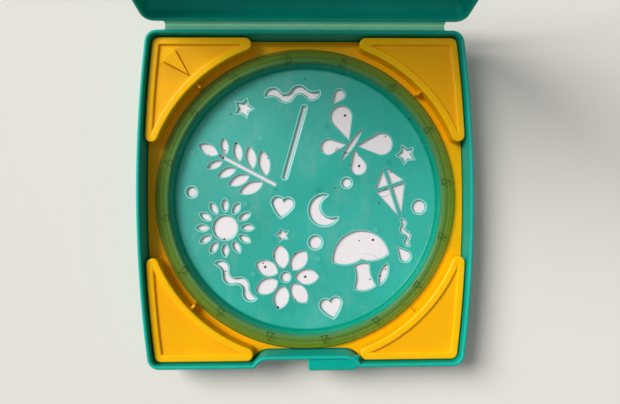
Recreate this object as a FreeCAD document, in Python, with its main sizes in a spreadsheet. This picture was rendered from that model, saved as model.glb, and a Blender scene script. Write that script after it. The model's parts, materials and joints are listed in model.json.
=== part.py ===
"""Drawing case with a turning round stencil.

A hinged tray and lid hold a sheet of paper, a holder frame with four corner
blocks, and a dished stencil disc that turns in the frame's round hole.

Frame: +X right, +Y towards the hinge, +Z up, origin at the middle of the
base's underside. Units are millimetres and degrees.
"""

import FreeCAD
import Part

import math
import os

import Sketcher

# Driving dimensions: name, value, meaning
SIZES = [
    ("case_width", "180", "widest span across the bowed sides"),
    ("case_depth", "180", "front face to hinge face"),
    ("side_bow", "5.8", "rise of each bowed side over the depth"),
    ("corner_radius", "6.4", "plan radius of the tray corners"),
    ("base_height", "21", "underside to rim of the base"),
    ("lid_height", "12", "top to rim of the lid"),
    ("wall", "2", "tray wall at the rim"),
    ("floor_thickness", "2", "tray floor"),
    ("draft", "1", "draft angle of the tray walls"),
    ("foot_round", "3", "round along the tray's lower edge"),
    ("rim_round", "0.6", "round along both edges of the rim"),
    ("recess_half_width", "20.6", "middle of the front to the end of the recess's flat wall"),
    ("recess_depth", "4.5", "how far the front is set back for the fingers"),
    ("mouth_radius", "2.6", "outer round where the recess begins"),
    ("recess_radius", "8", "hollow round at each end of the recess"),
    ("least_round", "0.3", "sharpest corner that an inner outline keeps"),
    ("tab_start", "0.6", "middle of the front to the square end of the tab"),
    ("tab_length", "27.6", "length of the finger tab"),
    ("tab_overhang", "1.7", "tab edge beyond the front face"),
    ("tab_step", "0.4", "tab top below the rim's round"),
    ("tab_thickness", "3.2", "thickness of the finger tab"),
    ("tab_corner_radius", "1.4", "plan radius at the tab's square end"),
    ("tab_end_radius", "4", "plan radius at the tab's other end"),
    ("tab_round", "0.9", "round along the tab's edges"),
    ("hinge_reach", "2.2", "hinge face to hinge axis"),
    ("rim_gap", "0.3", "gap between the rims of the closed case"),
    ("web_thickness", "0.5", "thickness of the hinge strip"),
    ("web_inset", "3.1", "end of the hinge strip to the tray's corner round"),
    ("lid_open_angle", "110", "angle of the lid from closed"),
    ("frame_clearance", "0.5", "holder frame to the foot of the tray wall"),
    ("plate_height", "7.2", "tray floor to top of the holder plate"),
    ("plate_thickness", "1.8", "holder plate"),
    ("skirt_thickness", "1.6", "standing wall under the edge of the plate"),
    ("block_height", "8.3", "corner block above the plate"),
    ("block_end", "32.6", "middle of the front or back to a block's round end"),
    ("block_flank", "34.7", "middle of the side to a block's round end"),
    ("block_tip_radius", "3.6", "round ends of the corner blocks"),
    ("block_shell", "1.7", "wall of the hollow corner blocks"),
    ("bead_width", "4", "raised bead round each block"),
    ("bead_round", "1.5", "outer round of the bead"),
    ("panel_depth", "1.3", "panel below the bead"),
    ("panel_slope", "32", "lean of the bead's inner side"),
    ("rib_width", "1.6", "guide rib on each block"),
    ("rib_height", "5.6", "guide rib above the plate"),
    ("rib_clearance", "0.5", "guide rib to the stencil flange"),
    ("rib_length", "3.8", "guide rib, from its free end to its root in the block"),
    ("arrow_length", "16.6", "moulded arrow, base to point"),
    ("arrow_width", "10.5", "moulded arrow across its base"),
    ("arrow_depth", "0.9", "moulded arrow at its point"),
    ("arrow_side_setback", "16.7", "side of the case to the middle of the arrow's base"),
    ("arrow_back_setback", "12.2", "back of the case to the middle of the arrow's base"),
    ("flange_margin", "4.6", "edge of the holder to the edge of the stencil"),
    ("flange_width", "7", "flange of the stencil, from its edge to the dish"),
    ("flange_thickness", "1.2", "flange of the stencil"),
    ("flange_round", "0.5", "round along the flange's edge"),
    ("dish_lean", "2.6", "how far the dish wall leans in"),
    ("dish_wall", "1.3", "sloping wall of the dish"),
    ("dish_round", "1.2", "rounds at the top and foot of the dish wall"),
    ("stencil_thickness", "1.2", "floor of the stencil"),
    ("hole_clearance", "0.6", "dish wall to the hole in the holder plate"),
    ("runner_inset", "3.4", "edge of the flange to the middle of the ring that it turns on"),
    ("runner_width", "1.6", "width of that ring"),
    ("runner_height", "0.6", "that ring below the flange"),
    ("runner_gap", "0.2", "that ring above the holder plate"),
    ("paper_margin", "6", "paper beyond the stencil's floor"),
    ("pad_thickness", "1.2", "spare sheets"),
    ("sheet_thickness", "0.2", "top sheet"),
    ("paper_clearance", "0.3", "top sheet to the stencil"),
    ("pen_slot", "1.7", "narrowest cut-out that a pen follows"),
    ("line_length", "42", "straight cut-out"),
    ("ribbon_length", "30", "wavy cut-outs, end to end"),
    ("ribbon_width", "3.4", "wavy cut-outs, across"),
    ("dot_radius", "3.4", "round cut-outs"),
    ("drop_length", "9.5", "drop cut-outs"),
    ("star_radius", "5", "star cut-outs, middle to point"),
    ("heart_width", "11", "heart cut-outs"),
    ("moon_radius", "8.5", "crescent cut-out"),
    ("flower_radius", "18.5", "flower, middle to petal end"),
    ("sun_radius", "16", "sun, middle to ray end"),
    ("butterfly_span", "22", "butterfly, body to wing end"),
    ("sprig_length", "48", "leaf sprig, foot to tip"),
    ("mushroom_width", "32", "mushroom cap"),
    ("kite_length", "31", "kite, corner to corner"),
]

# How close two lengths are that count as the same
TOLERANCE = 1e-4

X_AXIS = (1, 0, 0)
Y_AXIS = (0, 1, 0)
Z_AXIS = (0, 0, 1)
DIAGONAL = (1, 1, 1)


class Formula:
    """A length with its value and the expression that gives it in the document."""

    def __init__(self, value, text):
        self.value = value
        self.text = text

    def __add__(self, other):
        other = formula(other)
        return Formula(self.value + other.value, f"({self.text} + {other.text})")

    def __sub__(self, other):
        other = formula(other)
        return Formula(self.value - other.value, f"({self.text} - {other.text})")

    def __mul__(self, other):
        other = formula(other)
        return Formula(self.value * other.value, f"({self.text} * {other.text})")

    def __truediv__(self, other):
        other = formula(other)
        return Formula(self.value / other.value, f"({self.text} / {other.text})")

    def __neg__(self):
        return Formula(-self.value, f"(-1 * {self.text})")


def formula(number):
    if isinstance(number, Formula):
        return number
    return Formula(float(number), repr(number))


def tangent(angle):
    return Formula(math.tan(math.radians(angle.value)), f"tan({angle.text})")


def slope_angle(rise, length):
    return Formula(math.degrees(math.asin(rise.value / length.value)), f"asin({rise.text} / {length.text})")


def square(length):
    return length * length


def root(area):
    return Formula(math.sqrt(area.value), f"sqrt({area.text})")


def least(first, second):
    return Formula(min(first.value, second.value), f"min({first.text}; {second.text})")


def greatest(first, second):
    return Formula(max(first.value, second.value), f"max({first.text}; {second.text})")


class Sizes:
    """The spreadsheet's cells by name."""

    def __init__(self, document):
        self.sheet = document.addObject("Spreadsheet::Sheet", "Sizes")
        for row, (name, value, meaning) in enumerate(SIZES, start=1):
            self.sheet.set(f"A{row}", name)
            self.sheet.set(f"B{row}", value)
            self.sheet.set(f"C{row}", meaning)
            self.sheet.setAlias(f"B{row}", name)
        document.recompute()

    def __getattr__(self, name):
        return Formula(float(self.sheet.get(name)), f"Sizes.{name}")


class Fits:
    """Lengths worked out from the sizes, kept by name in the document."""

    def __init__(self, document):
        self.values = document.addObject("App::VarSet", "Fits")

    def derive(self, name, length):
        self.values.addProperty("App::PropertyFloat", name)
        self.values.setExpression(name, length.text)
        return Formula(length.value, f"Fits.{name}")


doc = FreeCAD.newDocument("drawing_case")
size = Sizes(doc)
fits = Fits(doc)

# The tray: wall at its foot, bowed sides, hinge axis
INNER_INSET = fits.derive(
    "inner_inset", size.wall + (size.base_height - size.floor_thickness) * tangent(size.draft))
SIDE_RADIUS = fits.derive(
    "side_radius",
    (size.case_depth * size.case_depth / 4 + size.side_bow * size.side_bow) / (size.side_bow * 2))
SIDE_CENTRE = fits.derive("side_centre", SIDE_RADIUS - size.case_width / 2)
HINGE_Y = fits.derive("hinge_y", size.case_depth / 2 + size.hinge_reach)
HINGE_Z = fits.derive("hinge_z", size.base_height + size.rim_gap / 2)

# The holder frame: how far it is set in from the case, and its levels
FRAME_INSET = fits.derive("frame_inset", INNER_INSET + size.frame_clearance)
PLATE_TOP = fits.derive("plate_top", size.floor_thickness + size.plate_height)
PLATE_UNDERSIDE = fits.derive("plate_underside", PLATE_TOP - size.plate_thickness)
BLOCK_TOP = fits.derive("block_top", PLATE_TOP + size.block_height)
PANEL_LEVEL = fits.derive("panel_level", BLOCK_TOP - size.panel_depth)

# The stencil: as large as the holder takes
FLANGE_RADIUS = fits.derive(
    "flange_radius", least(size.case_width, size.case_depth) / 2 - FRAME_INSET - size.flange_margin)
DISH_TOP_RADIUS = fits.derive("dish_top_radius", FLANGE_RADIUS - size.flange_width)
DISH_RADIUS = fits.derive("dish_radius", DISH_TOP_RADIUS - size.dish_lean)
HOLE_RADIUS = fits.derive("hole_radius", DISH_TOP_RADIUS + size.dish_wall + size.hole_clearance)
PAPER_SIZE = fits.derive("paper_size", (DISH_RADIUS + size.paper_margin) * 2)
PAPER_TOP = fits.derive("paper_top", size.floor_thickness + size.pad_thickness + size.sheet_thickness)
STENCIL_UNDERSIDE = fits.derive("stencil_underside", PAPER_TOP + size.paper_clearance)
STENCIL_TOP = fits.derive("stencil_top", STENCIL_UNDERSIDE + size.stencil_thickness)
FLANGE_UNDERSIDE = fits.derive("flange_underside", PLATE_TOP + size.runner_gap + size.runner_height)
FLANGE_TOP = fits.derive("flange_top", FLANGE_UNDERSIDE + size.flange_thickness)

# The corner blocks: their hollow sides are round about a point on the X axis
BLOCK_EDGE = fits.derive("block_edge", size.case_depth / 2 - FRAME_INSET)
BLOCK_SIDE = fits.derive("block_side", SIDE_RADIUS - FRAME_INSET)
END_Y = fits.derive("end_y", BLOCK_EDGE - size.block_tip_radius)
FLANK_X = fits.derive(
    "flank_x", root(square(BLOCK_SIDE - size.block_tip_radius) - square(size.block_flank)) - SIDE_CENTRE)
BLOCK_CENTRE = fits.derive(
    "block_centre",
    (square(FLANK_X) + square(size.block_flank) - square(size.block_end) - square(END_Y))
    / ((FLANK_X - size.block_end) * 2))
BLOCK_RADIUS = fits.derive(
    "block_radius",
    root(square(size.block_end - BLOCK_CENTRE) + square(END_Y)) - size.block_tip_radius)


def vector(x, y, z=0.0):
    return FreeCAD.Vector(x, y, z)


def bind(thing, prop, value):
    """Ties a property to the spreadsheet."""
    thing.setExpression(prop, value.text)


def bind_place(thing, prop, *steps):
    """Ties a placement to the spreadsheet: each step is a shift, an axis and a turn about it."""
    parts = []
    for shift, axis, turn in steps:
        shift_text = "; ".join(formula(number).text for number in shift)
        axis_text = "; ".join(str(number) for number in axis)
        turn_text = f"rotation(vector({axis_text}); {formula(turn).text})"
        parts.append(f"placement(vector({shift_text}); {turn_text})")
    thing.setExpression(prop, " * ".join(parts))


def new_body(label):
    body = doc.addObject("PartDesign::Body", label)
    body.Label = label
    return body


def new_sketch(body, name, *steps, plane="XY_Plane"):
    """A sketch on one of the body's own planes, shifted and turned from it by steps."""
    sketch = body.newObject("Sketcher::SketchObject", name)
    support = [item for item in body.Origin.OriginFeatures if item.Role == plane]
    sketch.AttachmentSupport = [(support[0], "")]
    sketch.MapMode = "FlatFace"
    if steps:
        bind_place(sketch, "AttachmentOffset", *steps)
        doc.recompute()
    return sketch


def level_sketch(body, name, level, turn=0):
    """A sketch that lies flat at a height."""
    return new_sketch(body, name, ((0, 0, level), Z_AXIS, turn))


def constrain(sketch, value, *constraint):
    """Adds a dimension to a sketch and ties it to the spreadsheet."""
    index = sketch.addConstraint(Sketcher.Constraint(*constraint, value.value))
    bind(sketch, f"Constraints[{index}]", value)


def line(sketch, start, end):
    return sketch.addGeometry(Part.LineSegment(vector(*start), vector(*end)), False)


def arc(sketch, centre, radius, start, end):
    """An arc drawn anticlockwise between two points of its circle."""
    angles = []
    for point in (start, end):
        angles.append(math.atan2(point[1] - centre[1], point[0] - centre[0]))
    circle = Part.Circle(vector(*centre), vector(0, 0, 1), radius)
    return sketch.addGeometry(Part.ArcOfCircle(circle, angles[0], angles[1]), False)


def circle(sketch, radius):
    """A full circle round the origin."""
    index = sketch.addGeometry(Part.Circle(vector(0, 0), vector(0, 0, 1), radius.value), False)
    sketch.addConstraint(Sketcher.Constraint("Coincident", index, 3, -1, 1))
    constrain(sketch, radius, "Radius", index)


def smooth_join(sketch, first, first_end, second, second_end):
    sketch.addConstraint(Sketcher.Constraint("Tangent", first, first_end, second, second_end))


def polygon(sketch, corners):
    """A closed outline of straight lines, each corner tied to the spreadsheet."""
    count = len(corners)
    lines = []
    for index in range(count):
        start = corners[index]
        end = corners[(index + 1) % count]
        lines.append(line(sketch, (start[0].value, start[1].value), (end[0].value, end[1].value)))
    for index in range(count):
        sketch.addConstraint(Sketcher.Constraint("Coincident", lines[index - 1], 2, lines[index], 1))
        constrain(sketch, corners[index][0], "DistanceX", -1, 1, lines[index], 1)
        constrain(sketch, corners[index][1], "DistanceY", -1, 1, lines[index], 1)


def pad(body, name, sketch, length, taper=None, down=False):
    feature = body.newObject("PartDesign::Pad", name)
    feature.Profile = sketch
    feature.Reversed = down
    bind(feature, "Length", length)
    if taper is not None:
        bind(feature, "TaperAngle", taper)
    return feature


def pocket(body, name, sketch, length, taper=None, up=False):
    feature = body.newObject("PartDesign::Pocket", name)
    feature.Profile = sketch
    feature.Reversed = up
    bind(feature, "Length", length)
    if taper is not None:
        bind(feature, "TaperAngle", taper)
    return feature


def round_edges(body, name, base, chosen, radius):
    """Rounds the edges of a feature that a test picks out."""
    doc.recompute()
    names = []
    for index, edge in enumerate(base.Shape.Edges, start=1):
        if chosen(edge):
            names.append(f"Edge{index}")
    feature = body.newObject("PartDesign::Fillet", name)
    feature.Base = (base, names)
    bind(feature, "Radius", radius)
    doc.recompute()
    return feature


def at_level(level):
    """A test for edges that lie flat at a height."""
    def chosen(edge):
        box = edge.BoundBox
        return abs(box.ZMin - level.value) < TOLERANCE and abs(box.ZMax - level.value) < TOLERANCE

    return chosen


def middle_of(edge):
    return edge.valueAt((edge.FirstParameter + edge.LastParameter) / 2)


def added_edge(before, level):
    """A test for edges at a height that an earlier feature of the body doesn't have."""
    doc.recompute()
    flat = at_level(level)
    old = [middle_of(edge) for edge in before.Shape.Edges if flat(edge)]

    def chosen(edge):
        return flat(edge) and all((middle_of(edge) - point).Length > TOLERANCE for point in old)

    return chosen


def drawn_edge(sketch, level):
    """A test for edges at a height that stand over or under the lines of a sketch."""
    flat = at_level(level)
    drawing_level = sketch.Shape.BoundBox.ZMin

    def chosen(edge):
        point = middle_of(edge)
        point.z = drawing_level
        return flat(edge) and sketch.Shape.distToShape(Part.Vertex(point))[0] < TOLERANCE

    return chosen


def toward(centre, point, distance):
    """The point at a distance from a centre, in the direction of another point."""
    length = math.hypot(point[0] - centre[0], point[1] - centre[1])
    share = distance / length
    return (centre[0] + (point[0] - centre[0]) * share, centre[1] + (point[1] - centre[1]) * share)


def case_outline(sketch, inset):
    """The case's plan outline, set in all round: bowed sides, round corners, recessed front."""
    half_depth = size.case_depth / 2 - inset
    side = SIDE_RADIUS - inset
    corner = greatest(size.corner_radius - inset, size.least_round)
    mouth = greatest(size.mouth_radius - inset, size.least_round)
    hollow = size.recess_radius + inset
    recess_y = size.recess_depth - size.case_depth / 2 + inset

    corner_y = half_depth.value - corner.value
    to_corner = side.value - corner.value
    corner_x = math.sqrt(to_corner ** 2 - corner_y ** 2) - SIDE_CENTRE.value
    side_end = toward((-SIDE_CENTRE.value, 0), (corner_x, corner_y), side.value)
    front = -half_depth.value
    hollow_x = size.recess_half_width.value
    hollow_y = recess_y.value - hollow.value
    mouth_y = front + mouth.value
    mouth_x = hollow_x + math.sqrt((mouth.value + hollow.value) ** 2 - (mouth_y - hollow_y) ** 2)
    flank = toward((hollow_x, hollow_y), (mouth_x, mouth_y), hollow.value)

    right_side = arc(sketch, (-SIDE_CENTRE.value, 0), side.value, (side_end[0], -side_end[1]), side_end)
    back_right = arc(sketch, (corner_x, corner_y), corner.value, side_end, (corner_x, half_depth.value))
    back = line(sketch, (corner_x, half_depth.value), (-corner_x, half_depth.value))
    back_left = arc(sketch, (-corner_x, corner_y), corner.value, (-corner_x, half_depth.value),
                    (-side_end[0], side_end[1]))
    left_side = arc(sketch, (SIDE_CENTRE.value, 0), side.value, (-side_end[0], side_end[1]),
                    (-side_end[0], -side_end[1]))
    front_left = arc(sketch, (-corner_x, -corner_y), corner.value, (-side_end[0], -side_end[1]),
                     (-corner_x, front))
    left_front = line(sketch, (-corner_x, front), (-mouth_x, front))
    left_mouth = arc(sketch, (-mouth_x, mouth_y), mouth.value, (-mouth_x, front), (-flank[0], flank[1]))
    left_hollow = arc(sketch, (-hollow_x, hollow_y), hollow.value, (-hollow_x, recess_y.value),
                      (-flank[0], flank[1]))
    recess = line(sketch, (-hollow_x, recess_y.value), (hollow_x, recess_y.value))
    right_hollow = arc(sketch, (hollow_x, hollow_y), hollow.value, flank, (hollow_x, recess_y.value))
    right_mouth = arc(sketch, (mouth_x, mouth_y), mouth.value, flank, (mouth_x, front))
    right_front = line(sketch, (mouth_x, front), (corner_x, front))
    front_right = arc(sketch, (corner_x, -corner_y), corner.value, (corner_x, front),
                      (side_end[0], -side_end[1]))

    chain = [
        (right_side, 2, back_right, 1), (back_right, 2, back, 1), (back, 2, back_left, 1),
        (back_left, 2, left_side, 1), (left_side, 2, front_left, 1), (front_left, 2, left_front, 1),
        (left_front, 2, left_mouth, 1), (left_mouth, 2, left_hollow, 2), (left_hollow, 1, recess, 1),
        (recess, 2, right_hollow, 2), (right_hollow, 1, right_mouth, 1), (right_mouth, 2, right_front, 1),
        (right_front, 2, front_right, 1), (front_right, 2, right_side, 1),
    ]
    for joint in chain:
        smooth_join(sketch, *joint)
    for straight in (back, left_front, recess, right_front):
        sketch.addConstraint(Sketcher.Constraint("Horizontal", straight))
    for bowed, sign in ((right_side, -1), (left_side, 1)):
        constrain(sketch, side, "Radius", bowed)
        sketch.addConstraint(Sketcher.Constraint("PointOnObject", bowed, 3, -1))
        constrain(sketch, SIDE_CENTRE * sign, "DistanceX", -1, 1, bowed, 3)
    for rounded in (back_right, back_left, front_left, front_right):
        constrain(sketch, corner, "Radius", rounded)
    for rounded in (right_mouth, left_mouth):
        constrain(sketch, mouth, "Radius", rounded)
    for rounded, sign in ((right_hollow, 1), (left_hollow, -1)):
        constrain(sketch, hollow, "Radius", rounded)
        constrain(sketch, size.recess_half_width * sign, "DistanceX", -1, 1, rounded, 3)
    constrain(sketch, half_depth, "DistanceY", -1, 1, back, 1)
    constrain(sketch, -half_depth, "DistanceY", -1, 1, left_front, 2)
    constrain(sketch, -half_depth, "DistanceY", -1, 1, right_front, 1)
    constrain(sketch, recess_y, "DistanceY", -1, 1, recess, 1)


def tab_outline(sketch):
    """Plan of the finger tab: one squarer end, one round end, its root inside the wall."""
    start = size.tab_start
    end = size.tab_start + size.tab_length
    edge = -(size.case_depth / 2 + size.tab_overhang)
    root = size.recess_depth + size.wall - size.case_depth / 2
    left = size.tab_corner_radius.value
    right = size.tab_end_radius.value
    x0, x1, y0, y1 = start.value, end.value, edge.value, root.value
    left_side = line(sketch, (x0, y1), (x0, y0 + left))
    left_corner = arc(sketch, (x0 + left, y0 + left), left, (x0, y0 + left), (x0 + left, y0))
    front = line(sketch, (x0 + left, y0), (x1 - right, y0))
    right_corner = arc(sketch, (x1 - right, y0 + right), right, (x1 - right, y0), (x1, y0 + right))
    right_side = line(sketch, (x1, y0 + right), (x1, y1))
    back = line(sketch, (x1, y1), (x0, y1))
    loop = (left_side, left_corner, front, right_corner, right_side)
    for first, second in zip(loop, loop[1:]):
        smooth_join(sketch, first, 2, second, 1)
    sketch.addConstraint(Sketcher.Constraint("Coincident", right_side, 2, back, 1))
    sketch.addConstraint(Sketcher.Constraint("Coincident", back, 2, left_side, 1))
    sketch.addConstraint(Sketcher.Constraint("Horizontal", front))
    sketch.addConstraint(Sketcher.Constraint("Horizontal", back))
    sketch.addConstraint(Sketcher.Constraint("Vertical", left_side))
    sketch.addConstraint(Sketcher.Constraint("Vertical", right_side))
    constrain(sketch, size.tab_corner_radius, "Radius", left_corner)
    constrain(sketch, size.tab_end_radius, "Radius", right_corner)
    constrain(sketch, start, "DistanceX", -1, 1, left_side, 1)
    constrain(sketch, end, "DistanceX", -1, 1, right_side, 2)
    constrain(sketch, edge, "DistanceY", -1, 1, front, 1)
    constrain(sketch, root, "DistanceY", -1, 1, back, 1)


def tray(label, height):
    """A moulded tray that opens upwards: base and lid differ only in height."""
    body = new_body(label)
    rim_plan = level_sketch(body, f"{label}_rim_plan", height)
    case_outline(rim_plan, formula(0))
    block = pad(body, f"{label}_block", rim_plan, height, taper=-size.draft, down=True)
    block = round_edges(body, f"{label}_rim_outer_round", block, at_level(height), size.rim_round)
    block = round_edges(body, f"{label}_foot_round", block, at_level(formula(0)), size.foot_round)

    tab_top = height - size.rim_round - size.tab_step
    tab_plan = level_sketch(body, f"{label}_tab_plan", tab_top)
    tab_outline(tab_plan)
    tab = pad(body, f"{label}_tab", tab_plan, size.tab_thickness, down=True)
    doc.recompute()
    for name, level in (("top", tab_top), ("underside", tab_top - size.tab_thickness)):
        chosen = drawn_edge(tab_plan, level)
        tab = round_edges(body, f"{label}_tab_{name}_round", tab, chosen, size.tab_round)

    hollow_plan = level_sketch(body, f"{label}_hollow_plan", height)
    case_outline(hollow_plan, size.wall)
    hollow = pocket(body, f"{label}_hollow", hollow_plan, height - size.floor_thickness, taper=-size.draft)
    round_edges(body, f"{label}_rim_inner_round", hollow, added_edge(tab, height), size.rim_round)
    return body


def open_lid(lid):
    """Turns the lid over onto the base and then back about the hinge."""
    closed_top = size.base_height + size.rim_gap + size.lid_height
    bind_place(
        lid, "Placement",
        ((0, HINGE_Y, HINGE_Z), X_AXIS, -size.lid_open_angle),
        ((0, -HINGE_Y, closed_top - HINGE_Z), Y_AXIS, 180))


def hinge_web(label):
    """The flexible strip: a bent band from the base's rim to the lid's rim."""
    length = (size.case_width / 2 - size.side_bow - size.corner_radius - size.web_inset) * 2
    drop = size.rim_round + size.rim_gap / 2
    half_turn = formula(90) - size.lid_open_angle / 2
    bend = (size.hinge_reach + drop * tangent(half_turn)) / tangent(half_turn)
    sectors = []
    for name, radius in (("outer", bend + size.web_thickness), ("inner", bend)):
        sector = doc.addObject("Part::Cylinder", f"{label}_{name}")
        bind(sector, "Radius", radius)
        bind(sector, "Height", length)
        bind(sector, "Angle", half_turn * 2)
        sectors.append(sector)
    band = doc.addObject("Part::Cut", label)
    band.Base, band.Tool = sectors
    band.Label = label
    # the cylinders' axis along X and their first edge straight down
    bind_place(
        band, "Placement",
        ((-length / 2, size.case_depth / 2, HINGE_Z - drop + bend), X_AXIS, -90),
        ((0, 0, 0), DIAGONAL, 120))
    return band


def block_outline(sketch, side_x, side_y, inset):
    """One corner block: outer corner, two round tips and the hollow towards the stencil."""
    tip = size.block_tip_radius - inset
    hollow = BLOCK_RADIUS + inset
    edge = BLOCK_EDGE - inset
    side = BLOCK_SIDE - inset
    corner = greatest(size.corner_radius - FRAME_INSET - inset, size.least_round)

    end = (size.block_end.value, END_Y.value)
    flank = (FLANK_X.value, size.block_flank.value)
    corner_y = edge.value - corner.value
    to_corner = side.value - corner.value
    corner_x = math.sqrt(to_corner ** 2 - corner_y ** 2) - SIDE_CENTRE.value

    middle = (BLOCK_CENTRE.value, 0)
    side_middle = (-SIDE_CENTRE.value, 0)
    points = {
        "end_edge": (end[0], edge.value),
        "end_hollow": toward(middle, end, hollow.value),
        "flank_hollow": toward(middle, flank, hollow.value),
        "flank_side": toward(side_middle, flank, side.value),
        "corner_side": toward(side_middle, (corner_x, corner_y), side.value),
        "corner_edge": (corner_x, edge.value),
    }

    def mirrored(point):
        return (point[0] * side_x, point[1] * side_y)

    place = {name: mirrored(point) for name, point in points.items()}
    turned = side_x * side_y < 0

    def bend(centre, radius, first, last):
        """An arc, and which of its ends is the first point."""
        if turned:
            return arc(sketch, mirrored(centre), radius, place[last], place[first]), 2, 1
        return arc(sketch, mirrored(centre), radius, place[first], place[last]), 1, 2

    top = line(sketch, place["corner_edge"], place["end_edge"])
    pieces = [
        (top, 1, 2),
        bend(end, tip.value, "end_edge", "end_hollow"),
        bend(middle, hollow.value, "flank_hollow", "end_hollow")[:1] + (2, 1),
        bend(flank, tip.value, "flank_hollow", "flank_side"),
        bend(side_middle, side.value, "flank_side", "corner_side"),
        bend((corner_x, corner_y), corner.value, "corner_side", "corner_edge"),
    ]
    if turned:
        pieces[2] = (pieces[2][0], 1, 2)
    for first, second in zip(pieces, pieces[1:] + pieces[:1]):
        smooth_join(sketch, first[0], first[2], second[0], second[1])
    end_tip, scoop, flank_tip, bowed, outer = (piece[0] for piece in pieces[1:])
    sketch.addConstraint(Sketcher.Constraint("Horizontal", top))
    sketch.addConstraint(Sketcher.Constraint("PointOnObject", scoop, 3, -1))
    sketch.addConstraint(Sketcher.Constraint("PointOnObject", bowed, 3, -1))
    constrain(sketch, size.block_end * side_x, "DistanceX", -1, 1, end_tip, 3)
    constrain(sketch, size.block_flank * side_y, "DistanceY", -1, 1, flank_tip, 3)
    constrain(sketch, SIDE_CENTRE * -side_x, "DistanceX", -1, 1, bowed, 3)
    constrain(sketch, edge * side_y, "DistanceY", -1, 1, top, 1)
    constrain(sketch, side, "Radius", bowed)
    constrain(sketch, corner, "Radius", outer)
    constrain(sketch, tip, "Radius", end_tip)
    constrain(sketch, tip, "Radius", flank_tip)


def panel_outline(sketch, side_x, side_y):
    """The sunk panel of one block: three edges that meet in points inside the bead."""
    edge = BLOCK_EDGE - size.bead_width
    side = BLOCK_SIDE - size.bead_width
    hollow = BLOCK_RADIUS + size.bead_width
    corner_x = math.sqrt(side.value ** 2 - edge.value ** 2) - SIDE_CENTRE.value
    end_x = math.sqrt(hollow.value ** 2 - edge.value ** 2) + BLOCK_CENTRE.value
    # where the circle of the hollow crosses the circle of the bowed side
    apart = SIDE_CENTRE.value + BLOCK_CENTRE.value
    flank_x = (side.value ** 2 - hollow.value ** 2 + apart ** 2) / (2 * apart) - SIDE_CENTRE.value
    flank_y = math.sqrt(side.value ** 2 - (flank_x + SIDE_CENTRE.value) ** 2)
    corner = (corner_x * side_x, edge.value * side_y)
    end = (end_x * side_x, edge.value * side_y)
    flank = (flank_x * side_x, flank_y * side_y)
    top = line(sketch, corner, end)
    side_middle = (-SIDE_CENTRE.value * side_x, 0)
    middle = (BLOCK_CENTRE.value * side_x, 0)
    if side_x * side_y > 0:
        scoop = arc(sketch, middle, hollow.value, flank, end)
        bowed = arc(sketch, side_middle, side.value, flank, corner)
        joints = ((top, 2, scoop, 2), (scoop, 1, bowed, 1), (bowed, 2, top, 1))
    else:
        scoop = arc(sketch, middle, hollow.value, end, flank)
        bowed = arc(sketch, side_middle, side.value, corner, flank)
        joints = ((top, 2, scoop, 1), (scoop, 2, bowed, 2), (bowed, 1, top, 1))
    for joint in joints:
        sketch.addConstraint(Sketcher.Constraint("Coincident", *joint))
    sketch.addConstraint(Sketcher.Constraint("Horizontal", top))
    sketch.addConstraint(Sketcher.Constraint("PointOnObject", scoop, 3, -1))
    sketch.addConstraint(Sketcher.Constraint("PointOnObject", bowed, 3, -1))
    constrain(sketch, BLOCK_CENTRE * side_x, "DistanceX", -1, 1, scoop, 3)
    constrain(sketch, SIDE_CENTRE * -side_x, "DistanceX", -1, 1, bowed, 3)
    constrain(sketch, edge * side_y, "DistanceY", -1, 1, top, 1)
    constrain(sketch, side, "Radius", bowed)
    constrain(sketch, hollow, "Radius", scoop)


CORNERS = [(side_x, side_y) for side_y in (1, -1) for side_x in (1, -1)]
RIB_TURN = 43.2
BACK_LEFT = 135


def holder_frame(label):
    """The insert: plate with a round hole, standing skirt, four hollow corner blocks."""
    body = new_body(label)
    plate_plan = level_sketch(body, "plate_plan", PLATE_UNDERSIDE)
    case_outline(plate_plan, FRAME_INSET)
    circle(plate_plan, HOLE_RADIUS)
    pad(body, "plate", plate_plan, size.plate_thickness)

    skirt_plan = level_sketch(body, "skirt_plan", PLATE_UNDERSIDE)
    case_outline(skirt_plan, FRAME_INSET)
    case_outline(skirt_plan, FRAME_INSET + size.skirt_thickness)
    pad(body, "skirt", skirt_plan, PLATE_UNDERSIDE - size.floor_thickness, down=True)

    block_plan = level_sketch(body, "block_plan", PLATE_TOP)
    panel_plan = level_sketch(body, "panel_plan", BLOCK_TOP)
    core_plan = level_sketch(body, "core_plan", PLATE_UNDERSIDE)
    for side_x, side_y in CORNERS:
        block_outline(block_plan, side_x, side_y, formula(0))
        panel_outline(panel_plan, side_x, side_y)
        block_outline(core_plan, side_x, side_y, size.block_shell)
    blocks = pad(body, "blocks", block_plan, size.block_height)
    round_edges(body, "bead_round", blocks, at_level(BLOCK_TOP), size.bead_round)
    pocket(body, "panels", panel_plan, size.panel_depth, taper=-size.panel_slope)
    core_height = PANEL_LEVEL - size.block_shell - PLATE_UNDERSIDE
    pocket(body, "cores", core_plan, core_height, up=True)

    rib_plan = level_sketch(body, "rib_plan", PLATE_TOP, turn=RIB_TURN)
    rib_start = FLANGE_RADIUS + size.rib_clearance
    rib_end = rib_start + size.rib_length
    half = size.rib_width / 2
    polygon(rib_plan, [(rib_start, -half), (rib_end, -half), (rib_end, half), (rib_start, half)])
    rib = pad(body, "rib", rib_plan, size.rib_height)
    ribs = body.newObject("PartDesign::PolarPattern", "ribs")
    ribs.Originals = [rib]
    upright = [item for item in body.Origin.OriginFeatures if item.Role == "Z_Axis"]
    ribs.Axis = (upright[0], [""])
    ribs.Angle = 360
    ribs.Occurrences = len(CORNERS)
    body.Tip = ribs
    doc.recompute()

    arrow_on_panel(body)
    return body


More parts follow.
